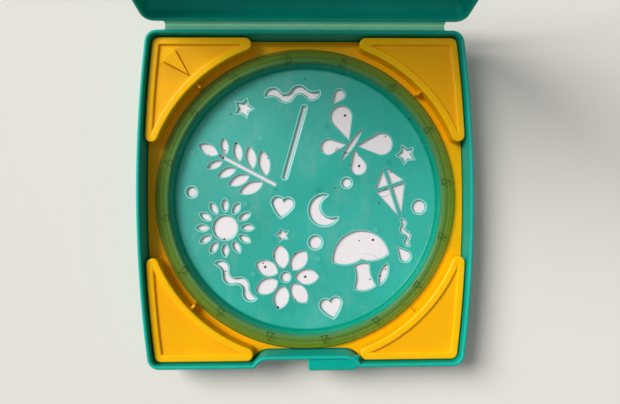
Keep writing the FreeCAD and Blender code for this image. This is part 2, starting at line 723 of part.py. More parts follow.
def arrow_on_panel(body):
    """A moulded arrow on the back left block that slopes down to a point beside the bead."""
    base_x = size.arrow_side_setback - size.case_width / 2
    base_y = size.case_depth / 2 - size.arrow_back_setback
    half = size.arrow_width / 2
    plan = new_sketch(
        body, "arrow_plan",
        ((base_x, base_y, PANEL_LEVEL), Z_AXIS, BACK_LEFT),
        ((0, 0, 0), Y_AXIS, -slope_angle(size.arrow_depth, size.arrow_length)))
    polygon(plan, [(-size.arrow_length, formula(0)), (formula(0), -half), (formula(0), half)])
    return pocket(body, "arrow", plan, size.arrow_depth * 2, up=True)


def on_circle(radius, level):
    """A test for the round edge of a radius at a height."""
    flat = at_level(level)

    def chosen(edge):
        point = middle_of(edge)
        return flat(edge) and abs(math.hypot(point.x, point.y) - radius.value) < TOLERANCE

    return chosen


def stencil_blank():
    """The dished disc before its cut-outs: flange, sloping wall, thin floor, running ring."""
    body = new_body("stencil_blank")
    section = new_sketch(body, "dish_section", plane="XZ_Plane")
    zero = formula(0)
    polygon(section, [
        (zero, STENCIL_UNDERSIDE),
        (DISH_RADIUS + size.dish_wall, STENCIL_UNDERSIDE),
        (DISH_TOP_RADIUS + size.dish_wall, FLANGE_UNDERSIDE),
        (FLANGE_RADIUS, FLANGE_UNDERSIDE),
        (FLANGE_RADIUS, FLANGE_TOP),
        (DISH_TOP_RADIUS, FLANGE_TOP),
        (DISH_RADIUS, STENCIL_TOP),
        (zero, STENCIL_TOP),
    ])
    dish = revolve(body, "dish", section)
    rounds = [
        (DISH_TOP_RADIUS, FLANGE_TOP, size.dish_round),
        (DISH_RADIUS, STENCIL_TOP, size.dish_round),
        (DISH_RADIUS + size.dish_wall, STENCIL_UNDERSIDE, size.dish_round),
        (FLANGE_RADIUS, FLANGE_TOP, size.flange_round),
    ]
    for number, (radius, level, amount) in enumerate(rounds, start=1):
        dish = round_edges(body, f"dish_round_{number}", dish, on_circle(radius, level), amount)

    ring_section = new_sketch(body, "runner_section", plane="XZ_Plane")
    middle = FLANGE_RADIUS - size.runner_inset
    inner = middle - size.runner_width / 2
    outer = middle + size.runner_width / 2
    foot = FLANGE_UNDERSIDE - size.runner_height
    root = FLANGE_UNDERSIDE + size.flange_thickness / 2
    polygon(ring_section, [(inner, foot), (outer, foot), (outer, root), (inner, root)])
    revolve(body, "runner", ring_section)
    return body


def revolve(body, name, section):
    feature = body.newObject("PartDesign::Revolution", name)
    feature.Profile = section
    feature.ReferenceAxis = (section, ["V_Axis"])
    feature.Angle = 360
    doc.recompute()
    return feature


def outline_face(*edges):
    return Part.Face(Part.Wire(Part.__sortEdges__(list(edges))))


def through(start, middle, end):
    """An arc through three points."""
    return Part.Arc(vector(*start), vector(*middle), vector(*end)).toShape()


def straight(start, end):
    return Part.LineSegment(vector(*start), vector(*end)).toShape()


def polar(radius, angle):
    turn = math.radians(angle)
    return (radius * math.cos(turn), radius * math.sin(turn))


def moved(face, x=0.0, y=0.0, turn=0.0):
    """A copy of a face, turned about the origin and then shifted."""
    copy = face.copy()
    place = FreeCAD.Placement(vector(x, y), FreeCAD.Rotation(vector(0, 0, 1), turn))
    copy.Placement = place.multiply(copy.Placement)
    return copy


# End radius of a drop as a share of its length
DROP_ROUND = 0.3


def dot(radius):
    return Part.Face(Part.Wire([Part.Circle(vector(0, 0), vector(0, 0, 1), radius).toShape()]))


def drop(length):
    """A round end drawn out to a point along +X."""
    radius = length * DROP_ROUND
    reach = length - radius
    lean = math.degrees(math.acos(radius / reach))
    upper = polar(radius, lean)
    lower = polar(radius, -lean)
    point = (reach, 0)
    return outline_face(through(upper, (-radius, 0), lower), straight(lower, point), straight(point, upper))


def leaf(length, width):
    """Two arcs that meet in points at the origin and along +X."""
    tip = (length, 0)
    upper = through((0, 0), (length * 0.45, width / 2), tip)
    lower = through(tip, (length * 0.45, -width / 2), (0, 0))
    return outline_face(upper, lower)


def star(radius):
    """Five points, the first along +Y."""
    corners = []
    for step in range(10):
        length = radius if step % 2 == 0 else radius * 0.46
        corners.append(polar(length, 90 + 36 * step))
    sides = [straight(corners[step - 1], corners[step]) for step in range(10)]
    return outline_face(*sides)


def heart(width):
    lobe = width / 4
    tip = (0, -width * 0.72)
    sides = []
    for hand in (1, -1):
        outer = (hand * width * 0.47, -lobe * 0.75)
        sides.append(through((0, 0), (hand * lobe * 1.15, lobe * 0.98), outer))
        sides.append(through(outer, (hand * width * 0.29, -width * 0.46), tip))
    return outline_face(*sides)


def crescent(radius):
    horn_x, horn_y = polar(radius, 55)
    outer = through((horn_x, horn_y), (-radius, 0), (horn_x, -horn_y))
    inner = through((horn_x, -horn_y), (-radius * 0.3, 0), (horn_x, horn_y))
    return outline_face(outer, inner)


def slot(length, width):
    """A straight slot with round ends, centred, along X."""
    half = length / 2 - width / 2
    side = width / 2
    return outline_face(
        straight((-half, side), (half, side)), through((half, side), (half + side, 0), (half, -side)),
        straight((half, -side), (-half, -side)), through((-half, -side), (-half - side, 0), (-half, side)))


def ribbon(length, width, waves=4):
    """A wavy band of equal arcs that swing up and down along X, pointed at both ends."""
    chord = length / waves
    rise = chord * 0.28
    upper = []
    lower = []
    for step in range(waves):
        start = -length / 2 + chord * step
        up = 1 if step % 2 == 0 else -1
        for edges, side in ((upper, width / 2), (lower, -width / 2)):
            first = 0 if step == 0 else side
            last = 0 if step == waves - 1 else side
            middle = (start + chord / 2, up * rise + side)
            edges.append(through((start, first), middle, (start + chord, last)))
    return outline_face(*upper, *lower)


def flower(radius):
    petals = 7
    faces = [dot(radius * 0.14)]
    for step in range(petals):
        turn = 360 / petals * step
        faces.append(moved(leaf(radius * 0.72, radius * 0.46), *polar(radius * 0.28, turn), turn))
    return faces


def sun(radius):
    rays = 12
    faces = [dot(radius * 0.42)]
    for step in range(rays):
        turn = 360 / rays * step
        faces.append(moved(leaf(radius * 0.42, radius * 0.2), *polar(radius * 0.58, turn), turn))
    return faces


def butterfly(span, pen):
    """Four wings and a slim body."""
    faces = [moved(leaf(span * 1.05, pen * 1.7), 0, -span * 0.52, 90)]
    for hand, side in ((1, 0), (-1, 180)):
        root = hand * pen * 1.55
        upper = drop_wing(span * 0.92)
        lower = drop_wing(span * 0.66)
        faces.append(moved(upper, root, span * 0.06, side + hand * 38))
        faces.append(moved(lower, root, -span * 0.06, side - hand * 42))
    return faces


def drop_wing(length):
    """A wing that swells from a point at the origin to a round end along +X."""
    return moved(drop(length), length * (1 - DROP_ROUND), 0, 180)


def sprig(length, pen):
    """A slim stem with pairs of leaves and one at the tip."""
    pairs = 4
    stem = length * 0.74
    faces = [moved(slot(stem, pen), 0, stem / 2, 90)]
    faces.append(moved(leaf(length * 0.24, length * 0.12), 0, stem + pen * 0.8, 90))
    for step in range(pairs):
        along = stem * (0.2 + 0.24 * step)
        reach = length * (0.3 - 0.035 * step)
        for hand in (1, -1):
            faces.append(moved(leaf(reach, reach * 0.43), hand * pen * 1.3, along, 90 - hand * 52))
    return faces


def mushroom(width, pen):
    """A domed cap, a waisted stem and a blade of grass."""
    half = width / 2
    cap = outline_face(
        through((-half, 0), (0, half * 0.95), (half, 0)),
        through((half, 0), (half * 0.5, -half * 0.16), (0, -half * 0.04)),
        through((0, -half * 0.04), (-half * 0.5, -half * 0.16), (-half, 0)))
    neck = width * 0.13
    foot = width * 0.19
    top = -half * 0.16 - pen
    low = -half * 1.05
    stem = outline_face(
        through((-neck, top), (0, top + half * 0.06), (neck, top)),
        through((neck, top), (neck * 0.95, (top + low) / 2), (foot, low)),
        through((foot, low), (0, low - half * 0.12), (-foot, low)),
        through((-foot, low), (-neck * 0.95, (top + low) / 2), (-neck, top)))
    grass = moved(leaf(width * 0.4, width * 0.13), foot + pen * 1.4, low, 62)
    return [cap, stem, grass]


def kite(length, pen):
    """Four panes with bars between them and a wavy tail."""
    bar = pen * 0.55
    arms = {0: length * 0.3, 90: length * 0.36, 180: length * 0.3, 270: length * 0.6}
    faces = []
    for turn in arms:
        along = arms[turn] - bar * 2
        across = arms[(turn + 90) % 360] - bar * 2
        corner = polar(bar * math.sqrt(2), 45)
        side = (bar + along, bar)
        top = (bar, bar + across)
        pane = outline_face(straight(corner, side), straight(side, top), straight(top, corner))
        faces.append(moved(pane, 0, 0, turn))
    faces.append(moved(ribbon(length * 0.5, pen * 1.1), 0, -length * 0.9, 90))
    return faces


def stencil_cutters(label):
    """Every cut-out of the stencil as a prism through its floor."""
    pen = size.pen_slot.value
    dots = size.dot_radius.value
    drops = size.drop_length.value
    stars = size.star_radius.value
    hearts = size.heart_width.value
    band = (size.ribbon_length.value, size.ribbon_width.value)
    # motifs, their distance from the middle as a share of the floor's radius, direction, turn
    layout = [
        (butterfly(size.butterfly_span.value, pen), 0.55, 50, -34),
        (sprig(size.sprig_length.value, pen), 0.26, 154, 62),
        (flower(size.flower_radius.value), 0.62, 255, 0),
        (mushroom(size.mushroom_width.value, pen), 0.62, 313, 8),
        (sun(size.sun_radius.value), 0.66, 199, 0),
        (kite(size.kite_length.value, pen), 0.66, 9, 18),
        ([slot(size.line_length.value, pen)], 0.45, 101, 74),
        ([ribbon(*band)], 0.82, 97, 5),
        ([ribbon(*band)], 0.83, 229, -41),
        ([crescent(size.moon_radius.value)], 0.165, 330, 25),
        ([star(stars)], 0.85, 124, 124),
        ([star(stars)], 0.85, 24, 24),
        ([star(stars * 0.75)], 0.33, 236, 15),
        ([heart(hearts)], 0.83, 283, 12),
        ([heart(hearts)], 0.18, 188, -8),
        ([dot(dots)], 0.88, 356, 0),
        ([dot(dots)], 0.34, 282, 0),
        ([dot(dots * 0.75)], 0.88, 176, 0),
        ([dot(dots * 0.7)], 0.34, 22, 0),
        ([drop(drops)], 0.85, 72, 232),
        ([drop(drops)], 0.89, 330, 130),
    ]
    prisms = []
    depth = size.stencil_thickness.value * 3
    start = STENCIL_UNDERSIDE.value - size.stencil_thickness.value
    for faces, share, direction, turn in layout:
        x, y = polar(DISH_RADIUS.value * share, direction)
        place = FreeCAD.Placement(vector(x, y, start), FreeCAD.Rotation(vector(0, 0, 1), turn))
        for face in faces:
            prism = face.extrude(vector(0, 0, depth))
            prism.Placement = place.multiply(prism.Placement)
            prisms.append(prism)
    cutters = doc.addObject("Part::Feature", label)
    cutters.Shape = Part.makeCompound(prisms)
    return cutters


def stencil_disc(label):
    disc = doc.addObject("Part::Cut", label)
    disc.Base = stencil_blank()
    disc.Tool = stencil_cutters("stencil_cutters")
    disc.Label = label
    return disc


def paper(label, thickness, level):
    """A stack of square sheets on the tray floor."""
    stack = doc.addObject("Part::Box", label)
    stack.Label = label
    bind(stack, "Length", PAPER_SIZE)
    bind(stack, "Width", PAPER_SIZE)
    bind(stack, "Height", thickness)
    corner = -PAPER_SIZE / 2
    bind(stack, "Placement.Base.x", corner)
    bind(stack, "Placement.Base.y", corner)
    bind(stack, "Placement.Base.z", level)
    return stack


def check(pieces):
    """Stops if anything in the document failed or a piece isn't a sound solid."""
    doc.recompute()
    for item in doc.Objects:
        if "Invalid" in item.State or "Error" in item.State:
            raise RuntimeError(f"{item.Label} failed: {item.State}")
    for piece in pieces:
        shape = piece.Shape
        if shape.isNull() or not shape.isValid() or not shape.Solids:
            raise RuntimeError(f"{piece.Label} is not a sound solid")


def main():
    lid = tray("case_lid", size.lid_height)
    pieces = [
        tray("case_base", size.base_height),
        lid,
        hinge_web("hinge_web"),
        holder_frame("holder_frame"),
        stencil_disc("stencil_disc"),
        paper("paper_pad", size.pad_thickness, size.floor_thickness),
        paper("drawing_sheet", size.sheet_thickness, size.floor_thickness + size.pad_thickness),
    ]
    open_lid(lid)
    check(pieces)
    os.makedirs("parts", exist_ok=True)
    for piece in pieces:
        piece.Shape.exportStep(os.path.join("parts", f"{piece.Label}.step"))
        print(piece.Label, round(piece.Shape.Volume, 1), len(piece.Shape.Solids), len(piece.Shape.Faces))


main()
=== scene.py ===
"""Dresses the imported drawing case: moulded shells, yellow holder, see-through stencil, paper."""

import json
import math

import bmesh
import bpy
import numpy as np
from bpy.props import FloatProperty, FloatVectorProperty, IntProperty, PointerProperty
from mathutils import Euler, Matrix, Vector
from mathutils.geometry import delaunay_2d_cdt


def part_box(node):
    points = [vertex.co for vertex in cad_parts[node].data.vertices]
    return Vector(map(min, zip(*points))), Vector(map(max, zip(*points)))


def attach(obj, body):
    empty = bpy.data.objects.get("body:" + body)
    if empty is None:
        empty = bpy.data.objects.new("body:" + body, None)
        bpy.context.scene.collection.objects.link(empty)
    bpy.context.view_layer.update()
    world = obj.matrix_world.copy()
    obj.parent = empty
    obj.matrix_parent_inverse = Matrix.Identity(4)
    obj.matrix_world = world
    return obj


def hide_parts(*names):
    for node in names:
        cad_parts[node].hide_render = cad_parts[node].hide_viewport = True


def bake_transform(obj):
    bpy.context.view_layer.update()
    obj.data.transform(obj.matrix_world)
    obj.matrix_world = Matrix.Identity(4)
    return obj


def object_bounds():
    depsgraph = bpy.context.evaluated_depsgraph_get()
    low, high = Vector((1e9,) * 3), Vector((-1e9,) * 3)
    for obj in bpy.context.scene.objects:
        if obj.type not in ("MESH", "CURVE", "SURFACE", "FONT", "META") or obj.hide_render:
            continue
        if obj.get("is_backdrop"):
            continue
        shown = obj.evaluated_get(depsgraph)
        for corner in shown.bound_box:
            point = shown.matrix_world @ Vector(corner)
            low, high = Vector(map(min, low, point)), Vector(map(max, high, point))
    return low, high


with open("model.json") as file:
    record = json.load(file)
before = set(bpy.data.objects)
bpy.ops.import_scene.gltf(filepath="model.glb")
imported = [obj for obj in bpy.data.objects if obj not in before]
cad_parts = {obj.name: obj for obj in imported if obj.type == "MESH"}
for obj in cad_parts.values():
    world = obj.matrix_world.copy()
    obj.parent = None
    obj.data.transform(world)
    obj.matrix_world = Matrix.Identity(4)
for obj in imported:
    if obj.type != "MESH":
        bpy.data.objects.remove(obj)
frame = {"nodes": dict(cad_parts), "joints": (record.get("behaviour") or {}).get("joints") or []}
CAD_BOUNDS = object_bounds()

bl_info = {
    "name": "Stencil drawing case",
    "version": (1, 0, 0),
    "blender": (4, 5, 0),
    "location": "View3D > Sidebar > Drawing case",
    "description": "Builds the visible pieces of a hinged drawing case around its CAD frame",
    "category": "Object",
}

BASE_LOW, BASE_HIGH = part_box("case_base")
DISC_LOW, DISC_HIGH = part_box("stencil_disc")
HOLDER_LOW, HOLDER_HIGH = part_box("holder_frame")
PAD_LOW, PAD_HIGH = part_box("paper_pad")
SHEET_LOW, SHEET_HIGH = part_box("drawing_sheet")
WEB_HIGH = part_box("hinge_web")[1]
LID_JOINT = next(joint for joint in frame["joints"] if joint["name"] == "lid_hinge")
# Points closer than this become one
MERGE = 2e-6
# Points round the holder's hole, the stencil and a witness mark
HOLE_POINTS, DISC_POINTS, PIN_POINTS = 200, 192, 28
# Signs of X and Y at the four corners, and the corner whose block has the arrow
CORNERS = ((1, 1), (-1, 1), (-1, -1), (1, -1))
ARROW_CORNER = (-1, 1)
# How far onto a flat its first ring lies, so that the round beside it doesn't bend the flat's shading
FLAT_EDGE = 0.001
# How far in the middle of a small round lies, as a share of its radius
ROUND_MIDDLE = 0.3
# Rings at the foot of a bead's inner side: distance past it towards the panel, and height above the panel
PANEL_FOOT = ((-0.00014, 0.00022), (-0.00003, 0.00008), (0.00016, 0.0))
# Rings of a cut-out's lip: distance out from the cut and depth below the floor, both in lips, and its mark:
# above 0 a pale painted highlight, below 0 painted shade
LIP = (
    (1.0, 0.0, 0.0), (0.93, 0.03, -0.45), (0.84, 0.01, 0.45), (0.7, 0.0, 0.95), (0.52, 0.03, 0.75),
    (0.34, 0.11, 0.55), (0.18, 0.25, 0.5), (0.05, 0.44, 0.3))
# Depth of a cut's upper edge, in lips, and the painted shade at its upper edge, at its foot and under it
CUT_EDGE = 0.5
CUT_SHADE = (-0.3, -0.9, -0.4)
# The most of the room beside a cut-out that its lip takes up
LIP_ROOM = 0.42
# The farthest that a lip runs out at a corner, in lips
POINT_REACH = 1.15
# Rings of a witness mark: share of its radius, and height above the floor
PIN_RINGS = ((1.0, -0.00002), (1.0, 0.00003), (0.93, 0.00006), (0.86, 0.00003))
# How pale most witness marks are, and how dark the others
PIN_WEAR = 0.3
# Painted shade in the arrow's grooves: its light against that of clean plastic, and how much it covers at
# most
PAINTED_SHADE_LIGHT, PAINTED_SHADE_MOST = 0.3, 0.85
# The side of the stencil, towards the lamp, where a paler sheen is painted most
SHEEN_SIDE = (-0.8, 0.6, 0.0)
# Colour of the light from the sky
SKY_TONE = (0.97, 0.985, 1.0, 1.0)


def length(name, default, description):
    return FloatProperty(
        name=name, description=description, default=default, min=0.0,
        unit="LENGTH", subtype="DISTANCE", precision=5)


def angle(name, degrees, description):
    return FloatProperty(
        name=name, description=description, default=math.radians(degrees), unit="ROTATION", subtype="ANGLE")


def share(name, default, description):
    return FloatProperty(
        name=name, description=description, default=default, min=0.0, max=1.0, subtype="FACTOR")


def count(name, default, description):
    return IntProperty(name=name, description=description, default=default, min=1)


def colour(name, red, green, blue, description):
    """A colour given as it looks on screen."""
    return FloatVectorProperty(
        name=name, description=description, size=3, min=0.0, max=1.0, subtype="COLOR_GAMMA",
        default=(red / 255, green / 255, blue / 255))


class CaseSettings(bpy.types.PropertyGroup):
    """The two trays of the case."""

    width: length("Width", BASE_HIGH.x - BASE_LOW.x, "Across the bowed sides")
    depth: length("Depth", BASE_HIGH.y * 2, "From the front edge to the hinge edge")
    base_height: length("Base height", BASE_HIGH.z, "Underside to rim")
    lid_height: length("Lid height", 0.012, "Lid, outside to rim")
    side_bow: length("Side bow", 0.0058, "How far the sides swell out")
    corner_radius: length("Corner radius", 0.0064, "Corners in plan")
    recess_half: length("Recess half width", 0.0206, "Middle to the ends of the front recess")
    recess_depth: length("Recess depth", 0.0045, "Front recess")
    recess_radius: length("Recess bend", 0.008, "Bends at the bottom of the recess")
    mouth_radius: length("Mouth bend", 0.0026, "Bends at the mouth of the recess")
    least_round: length("Least round", 0.0003, "Smallest bend in plan")
    wall: length("Wall", 0.002, "Wall at the rim")
    floor: length("Floor", 0.002, "Floor of a tray")
    draft: angle("Draft", 1.0, "Lean of the walls")
    foot_round: length("Foot round", 0.003, "Round along the outside of the floor")
    base_round: length("Base inner round", 0.0008, "Round along the inside of the base's floor")
    lid_round: length("Lid inner round", 0.0065, "Soft round along the inside of the lid")
    rim_round: length("Rim round", 0.0006, "Rim to the hinge strip's edge")
    rim_soft: length("Rim softness", 0.0009, "Rounds along the rim")
    rim_gap: length("Rim gap", 0.0003, "Rim to rim when shut")
    tab_start: length("Tab start", 0.0006, "Middle to the squarer end of the finger tab")
    tab_length: length("Tab length", 0.0276, "Finger tab")
    tab_overhang: length("Tab overhang", 0.0017, "Tab in front of the case")
    tab_thickness: length("Tab thickness", 0.0032, "Tab, top to underside")
    tab_step: length("Tab step", 0.001, "Rim to the top of the tab")
    tab_round: length("Tab round", 0.0009, "Rounds along the tab's edges")
    tab_root: length("Tab root", 0.0013, "How far the tab runs into the wall")
    tab_square: length("Tab square end", 0.0014, "Round of its squarer end")
    tab_blunt: length("Tab blunt end", 0.004, "Round of its rounder end")
    # The rims are drawn paler, partly for handling and partly as a painted sheen where they catch the light
    worn_and_lit_depth: length("Rubbed depth", 0.0007, "How far down the rims are rubbed")
    rubbed_tab: share("Rubbed tab", 0.12, "How much the finger tab is rubbed")
    colour: colour("Colour", 0, 163, 145, "Moulded plastic of the case")
    shade: colour("Deep colour", 0, 156, 136, "Where the plastic is a little denser")
    # Paler colour of the rims and tab: marks of handling, and a painted sheen on the rims
    worn_and_lit: colour("Rubbed colour", 32, 183, 167, "Along the rims, where hands rub")

    def side_radius(self):
        return (self.depth ** 2 / 4 + self.side_bow ** 2) / (2 * self.side_bow)

    def side_centre(self):
        return self.side_radius() - self.width / 2


class HingeSettings(bpy.types.PropertyGroup):
    """The flexible strip between the trays."""

    thickness: length("Thickness", 0.0005, "Strip")
    crease: share("Crease", 0.4, "How much thinner the strip is along its fold")
    crease_width: share("Crease width", 0.16, "Half the crease, as a share of the strip")
    pale_width: length("Pale width", 0.0004, "Half the stretched, paler line")
    notch: length("End notch", 0.0009, "How far its ends are scooped out")
    glow: share("Glow", 0.7, "How much light comes through the thin strip")
    glow_depth: length("Glow depth", 0.002, "How far light spreads inside it")
    colour: colour("Colour", 112, 204, 168, "Thin plastic with light behind it")
    shade: colour("Deep colour", 100, 194, 158, "Where it is less stretched")
    worn_and_lit: colour("Stretched colour", 158, 220, 194, "Paler lines along the fold")


class HolderSettings(bpy.types.PropertyGroup):
    """The insert with its four corner blocks."""

    inset: length("Inset", 0.00283165, "Case outline to the holder's outline")
    plate_top: length("Plate level", 0.0092, "Top of the plate")
    plate: length("Plate", 0.0018, "Plate thickness")
    hole_radius: length("Hole", 0.077468, "Hole for the stencil's dish")
    edge_round: length("Edge round", 0.0003, "Round along the hole")
    skirt: length("Skirt", 0.0016, "Standing wall below the plate")
    block_end: length("Block end", 0.0326, "Middle to the round tip at the back or front edge")
    block_flank: length("Block flank", 0.0347, "Middle to the round tip at a side")
    tip_radius: length("Tip radius", 0.0036, "Round tips of the blocks")
    bead_width: length("Bead", 0.004, "Raised bead round each panel")
    bead_round: length("Bead round", 0.001, "Outer round of the bead")
    bead_inner: length("Bead inner round", 0.00095, "Inner round of the bead")
    panel_depth: length("Panel depth", 0.0013, "Panel below the bead")
    panel_slope: angle("Panel slope", 12, "Lean of the bead's inner side")
    shell: length("Shell", 0.0017, "Walls of the hollow blocks")
    # The beads are drawn paler, partly for handling and partly as a painted highlight on their tops
    worn_and_lit_bead: share("Rubbed bead", 0.9, "How much the beads are rubbed")
    rib_width: length("Rib width", 0.0016, "Guide ribs")
    rib_height: length("Rib height", 0.0056, "Guide ribs above the plate")
    rib_start: length("Rib start", 0.083068, "Middle to the free end of a rib")
    rib_length: length("Rib length", 0.0038, "Guide ribs")
    rib_round: length("Rib round", 0.00045, "Edges of the guide ribs")
    rib_root: length("Rib root", 0.0006, "How far the guide ribs run into the plate")
    rib_turn: angle("Rib turn", 43.2, "Where the first guide rib stands round the middle")
    arrow_length: length("Arrow length", 0.0169, "Moulded arrow, base to point")
    arrow_width: length("Arrow width", 0.0116, "Moulded arrow across its base")
    arrow_depth: length("Arrow depth", 0.0006, "Moulded arrow at its point")
    arrow_side: length("Arrow side setback", 0.0162, "Side of the case to the middle of the arrow's base")
    arrow_back: length("Arrow back setback", 0.0117, "Back of the case to the middle of the arrow's base")
    arrow_groove: length("Arrow groove", 0.0015, "Groove along each long side of the arrow")
    colour: colour("Colour", 247, 178, 0, "Yellow plastic")
    shade: colour("Deep colour", 243, 170, 0, "Where the plastic is denser")
    # Paler colour of the beads, for handling and as a painted highlight; also the painted highlight across
    # the arrow's base
    worn_and_lit: colour("Rubbed colour", 255, 198, 4, "Along the beads")


class StencilSettings(bpy.types.PropertyGroup):
    """The turning disc with its cut-outs."""

    rim_radius: length("Flange radius", DISC_HIGH.x, "Edge of the disc")
    flange_width: length("Flange", 0.007, "Edge to the dish")
    dish_lean: length("Dish lean", 0.0026, "How far the dish wall leans in")
    dish_wall: length("Dish wall", 0.0013, "Sloping wall")
    dish_round: length("Dish round", 0.0012, "Rounds at the top and foot of the wall")
    edge_round: length("Edge round", 0.0005, "Upper round of the disc's edge")
    small_round: length("Small round", 0.0002, "Rounds under the edge and along the ring")
    root_round: length("Root round", 0.00015, "Where the ring meets the flange")
    under_round: length("Under round", 0.0003, "Where the wall meets the flange below")
    floor_margin: length("Floor margin", 0.0023, "Foot of the wall to the flat floor")
    floor: length("Floor", 0.0012, "Thin floor")
    flange: length("Flange thickness", 0.0012, "Flange")
    runner_inset: length("Ring inset", 0.0034, "Edge to the ring that it turns on")
    runner_width: length("Ring width", 0.0016, "That ring")
    runner_height: length("Ring height", 0.0006, "That ring below the flange")
    lip: length("Lip", 0.0016, "Moulded lip round the cut-outs, where there is room")
    lip_under: length("Lip below", 0.0002, "Round under the cut-outs")
    mark_count: count("Marks", 16, "Pointers moulded round the flange")
    mark_size: length("Mark size", 0.0031, "Pointers")
    mark_line: length("Mark line", 0.0003, "Half the width of their lines")
    mark_radius: length("Mark radius", 0.0775, "Middle to the pointers")
    mark_turn: angle("Mark turn", 7.2, "Where the first pointer stands")
    pin_count: count("Pin marks", 9, "Round witness marks of the mould on the floor")
    pin_radius: length("Pin mark radius", 0.0014, "Those marks")
    pin_margin: length("Pin mark margin", 0.002, "Farthest mark to the edge of the flat floor")
    colour: colour("Colour", 62, 214, 200, "Body of the plastic")
    shade: colour("Deep colour", 46, 202, 185, "Where the plastic is denser")
    # Haze colour: random smears on the floor, and a painted sheen on the side towards the lamp
    haze: colour("Haze", 164, 220, 210, "Smears where the floor is scuffed")
    tint: colour("Tint", 214, 239, 232, "Light that comes through it")
    band_foot: length("Band foot", 0.0728, "Middle to the foot of the wall's dark band")
    band_top: length("Band top", 0.0748, "Middle to the top of that band")
    band_line: length("Band line", 0.0007, "Foot of the band to the darker line in it")
    collar_end: length("Collar end", 0.0781, "Middle to where the flange becomes clear")
    wall_colour: colour("Wall colour", 6, 160, 132, "Sloping wall, seen edge on")
    # The darker line is painted shade, standing in for the shading of a step round the wall
    line_colour: colour("Line colour", 0, 132, 107, "Darker line round the wall")
    # The collar colour is painted over the shaded gap under the flange's inside, as if lit yellow showed
    # through
    collar_colour: colour("Collar colour", 98, 162, 92, "Inside of the flange, beside the wall")
    flange_colour: colour("Flange colour", 120, 158, 68, "Flange, warmed by the yellow under it")
    mark_colour: colour("Mark colour", 28, 48, 18, "Pointers")
    # The lip colour is a painted highlight round the cut-outs, also used on the pale witness marks
    edge_colour: colour("Lip colour", 168, 236, 226, "Pale lip round the cut-outs")
    # The crease colour is painted shade in the cut-outs and along the lips, also used on the dark witness
    # marks
    crease_colour: colour("Crease colour", 48, 72, 58, "Dirt in the cut-outs and along their lips")
    # How much sheen is painted at the edge towards the lamp
    sheened: share("Scuffed", 0.26, "Haze at the edge that is scuffed most")
    floor_body: share("Floor body", 0.5, "How much of its own colour the frosted floor shows")
    wall_body: share("Wall body", 0.9, "How much of its own colour the wall shows")
    collar_body: share("Collar body", 0.5, "How much of its own colour the inside of the flange shows")
    flange_body: share("Flange body", 0.18, "How much of its own colour the clear flange shows")
    ink: colour("Ink", 20, 62, 58, "Specks left by pens")


class PaperSettings(bpy.types.PropertyGroup):
    """The drawing sheet and the spare sheets under it."""

    pad_sheets: count("Spare sheets", 8, "Sheets below the top one")
    skew: length("Skew", 0.0005, "How far the spare sheets slide about")
    sheet_share: share("Sheet share", 0.9, "How much of its room a spare sheet fills")
    corner_round: length("Corner round", 0.0015, "Corners of the top sheet")
    colour: colour("Colour", 237, 228, 230, "Paper")
    shade: colour("Shade", 224, 212, 216, "Fibres")
    ink: colour("Ink", 26, 24, 30, "Specks and pen strokes left from drawing")


class StageSettings(bpy.types.PropertyGroup):
    """Floor, lamp, world and camera."""

    floor_size: length("Floor", 60.0, "Across the floor")
    floor_colour: colour("Floor colour", 226, 221, 213, "Plain pale floor")
    key_strength: FloatProperty(
        name="Key lamp", description="Soft lamp at the back left", default=3.7, min=0.0)
    key_place: FloatVectorProperty(
        name="Key place", description="Where the soft lamp shines from", size=3, unit="LENGTH",
        subtype="TRANSLATION", default=(-1.0, 0.65, 1.04))
    key_spread: angle("Key spread", 31, "How wide the soft lamp looks from the object")
    sky: share("Sky", 0.31, "Light from overhead")
    horizon: share("Horizon", 0.12, "Light from low down all round")
    backdrop: colour("Backdrop", 239, 235, 228, "Plain pale background")
    lens: FloatProperty(name="Lens", description="Focal length", default=28.44, unit="CAMERA")
    camera_place: FloatVectorProperty(
        name="Camera", description="Where the camera is", size=3, unit="LENGTH", subtype="TRANSLATION",
        default=(-0.004403, 0.001513, 0.281))
    camera_turn: FloatVectorProperty(
        name="Camera turn", description="How the object is turned in its view", size=3, subtype="EULER",
        default=(math.radians(0.6048), math.radians(1.3825), math.radians(0.2764)))


def arc(centre, radius, start, end, steps):
    """Points along an arc between two angles in radians, without the last."""
    points = []
    for step in range(steps):
        turn = start + (end - start) * step / steps
        points.append((centre[0] + radius * math.cos(turn), centre[1] + radius * math.sin(turn)))
    return points


def run(start, end, steps):
    """Points along a straight line, without the last."""
    return [
        (start[0] + (end[0] - start[0]) * step / steps, start[1] + (end[1] - start[1]) * step / steps)
        for step in range(steps)
    ]


def quarter(steps):
    """Sine and cosine at even steps through a right angle, both its ends included."""
    for step in range(steps + 1):
        turn = math.pi / 2 * step / steps
        yield math.sin(turn), math.cos(turn)


def circle(radius, steps):
    return arc((0, 0), radius, 0, 2 * math.pi, steps)


def bearing(start, end):
    return math.atan2(end[1] - start[1], end[0] - start[0])


def both_halves(right):
    """Closes an outline that is the same on both sides of the Y axis."""
    return right + [(-x, y) for x, y in reversed(right[1:-1])]


def front_half(case, inset):
    """Right half of the front recess, from its middle to the straight front edge."""
    front = inset - case.depth / 2
    mouth = max(case.mouth_radius - inset, case.least_round)
    bend = case.recess_radius + inset
    recess_y = case.recess_depth - case.depth / 2 + inset
    bend_at = (case.recess_half, recess_y - bend)
    mouth_y = front + mouth
    mouth_x = bend_at[0] + math.sqrt((mouth + bend) ** 2 - (mouth_y - bend_at[1]) ** 2)
    flank = bearing(bend_at, (mouth_x, mouth_y))
    points = run((0, recess_y), (case.recess_half, recess_y), 8)
    points += arc(bend_at, bend, math.pi / 2, flank, 10)
    points += arc((mouth_x, mouth_y), mouth, flank + math.pi, 1.5 * math.pi, 8)
    return points, (mouth_x, front)


